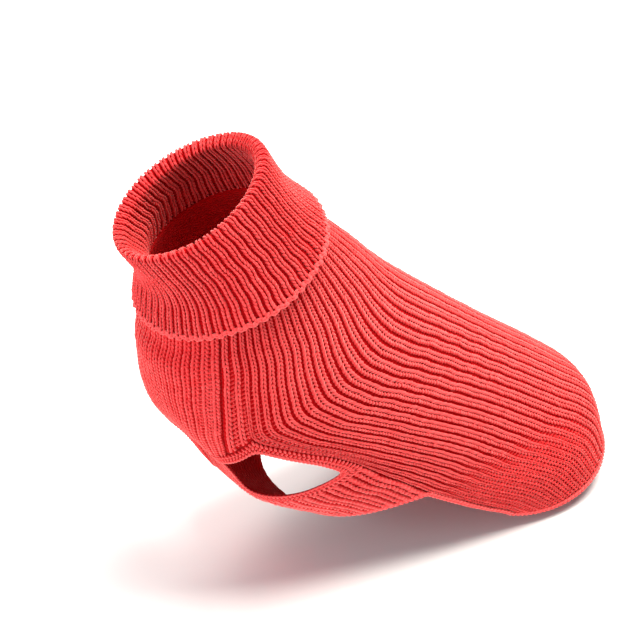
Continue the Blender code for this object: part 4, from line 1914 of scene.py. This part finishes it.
@dataclass
class Studio:
    """Pale floor, soft lamps and the camera."""

    floor_height: float = -0.276
    floor_half: float = 6.0
    lamps: tuple[Lamp, ...] = (
        Lamp("key", (0.45, -0.24, 1.47), 1.1, 66.0, (1.0, 0.97, 0.89)),
        Lamp("fill", (-1.8, -0.20, 0.30), 1.2, 21.0, (0.96, 0.97, 1.0)),
        Lamp("rear", (0.7, 1.3, 1.1), 1.2, 37.0, (1.0, 0.97, 0.90)),
    )
    sky: Colour = (0.95, 0.98, 1.0, 1.0)
    sky_strength: float = 0.36
    camera_at: Triple = (-0.780, -1.132, 0.699)
    aim: Triple = (0.0149, 0.0029, -0.1009)
    lens: float = 128.6
    sensor: float = 36.0

    def build(self) -> None:
        """Build the floor, the lamps, the sky's light and the camera."""
        self.floor()
        for lamp in self.lamps:
            data = bpy.data.lights.new(lamp.name, "AREA")
            data.size, data.energy, data.color = lamp.size, lamp.power, lamp.colour
            self.aimed(lamp.name, data, lamp.place)
        world = bpy.data.worlds.new("studio")
        world.use_nodes = True
        light = world.node_tree.nodes["Background"].inputs
        light[0].default_value, light[1].default_value = self.sky, self.sky_strength
        bpy.context.scene.world = world
        data = bpy.data.cameras.new("camera")
        data.lens, data.sensor_width = self.lens, self.sensor
        bpy.context.scene.camera = self.aimed("camera", data, self.camera_at)
        bpy.context.scene.view_settings.view_transform = "Standard"

    def floor(self) -> None:
        """Build the floor, which is stage and no part of the sweater."""
        corners = np.array([(-1, -1, 0), (1, -1, 0), (1, 1, 0), (-1, 1, 0)], float) * self.floor_half
        corners = corners + (0, 0, self.floor_height)
        floor = make_object("floor", corners, np.array([[0, 1, 2, 3]]), {})
        floor.data.materials.append(FloorFinish().material())

    def aimed(self, name: str, data: bpy.types.ID, place: Triple) -> bpy.types.Object:
        """Place a lamp or the camera and aim it at the sweater.

        Args:
            name: the object's name.
            data: the lamp's or camera's data.
            place: where it stands.

        Returns:
            The new object.
        """
        made = bpy.data.objects.new(name, data)
        made.location = place
        made.rotation_euler = (Vector(self.aim) - Vector(place)).to_track_quat("-Z", "Y").to_euler()
        bpy.context.scene.collection.objects.link(made)
        return made


def main() -> None:
    """Build the sweater piece by piece, dress it and set the studio."""
    logging.basicConfig(level=logging.INFO, format="%(message)s")
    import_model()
    dresser = Dresser(YarnFinish().material(), ClothFinish().material())
    body = Surface(BODY_START, BODY_STOP, body_rows, fold_lift)
    roll = Surface(0.0, 3.0, collar_rows, collar_waves, turns=COLLAR_TURNS)
    back, chest = BackPanel(body), ChestPanel(body)
    pieces = [back, chest, Collar(roll), *(LegBand(body, back, chest, side) for side in Side)]
    made = [
        (piece.build_cloth(dresser), piece.build_yarn(dresser, piece.stitches())) for piece in pieces
    ]
    for piece, (cloth, yarn) in zip(pieces, made):
        yarn += piece.build_yarn(dresser, piece.hem_chain())
    for piece, (cloth, yarn) in zip(pieces, made):
        area = sum(face.area for face in cloth.data.polygons) / 2
        LOG.info("%s: %.4f m2 on one face, %d pieces of yarn", cloth.name, area, len(yarn))
        piece.state_cut(cloth, yarn)
    Studio().build()


if __name__ == "__main__":
    main()
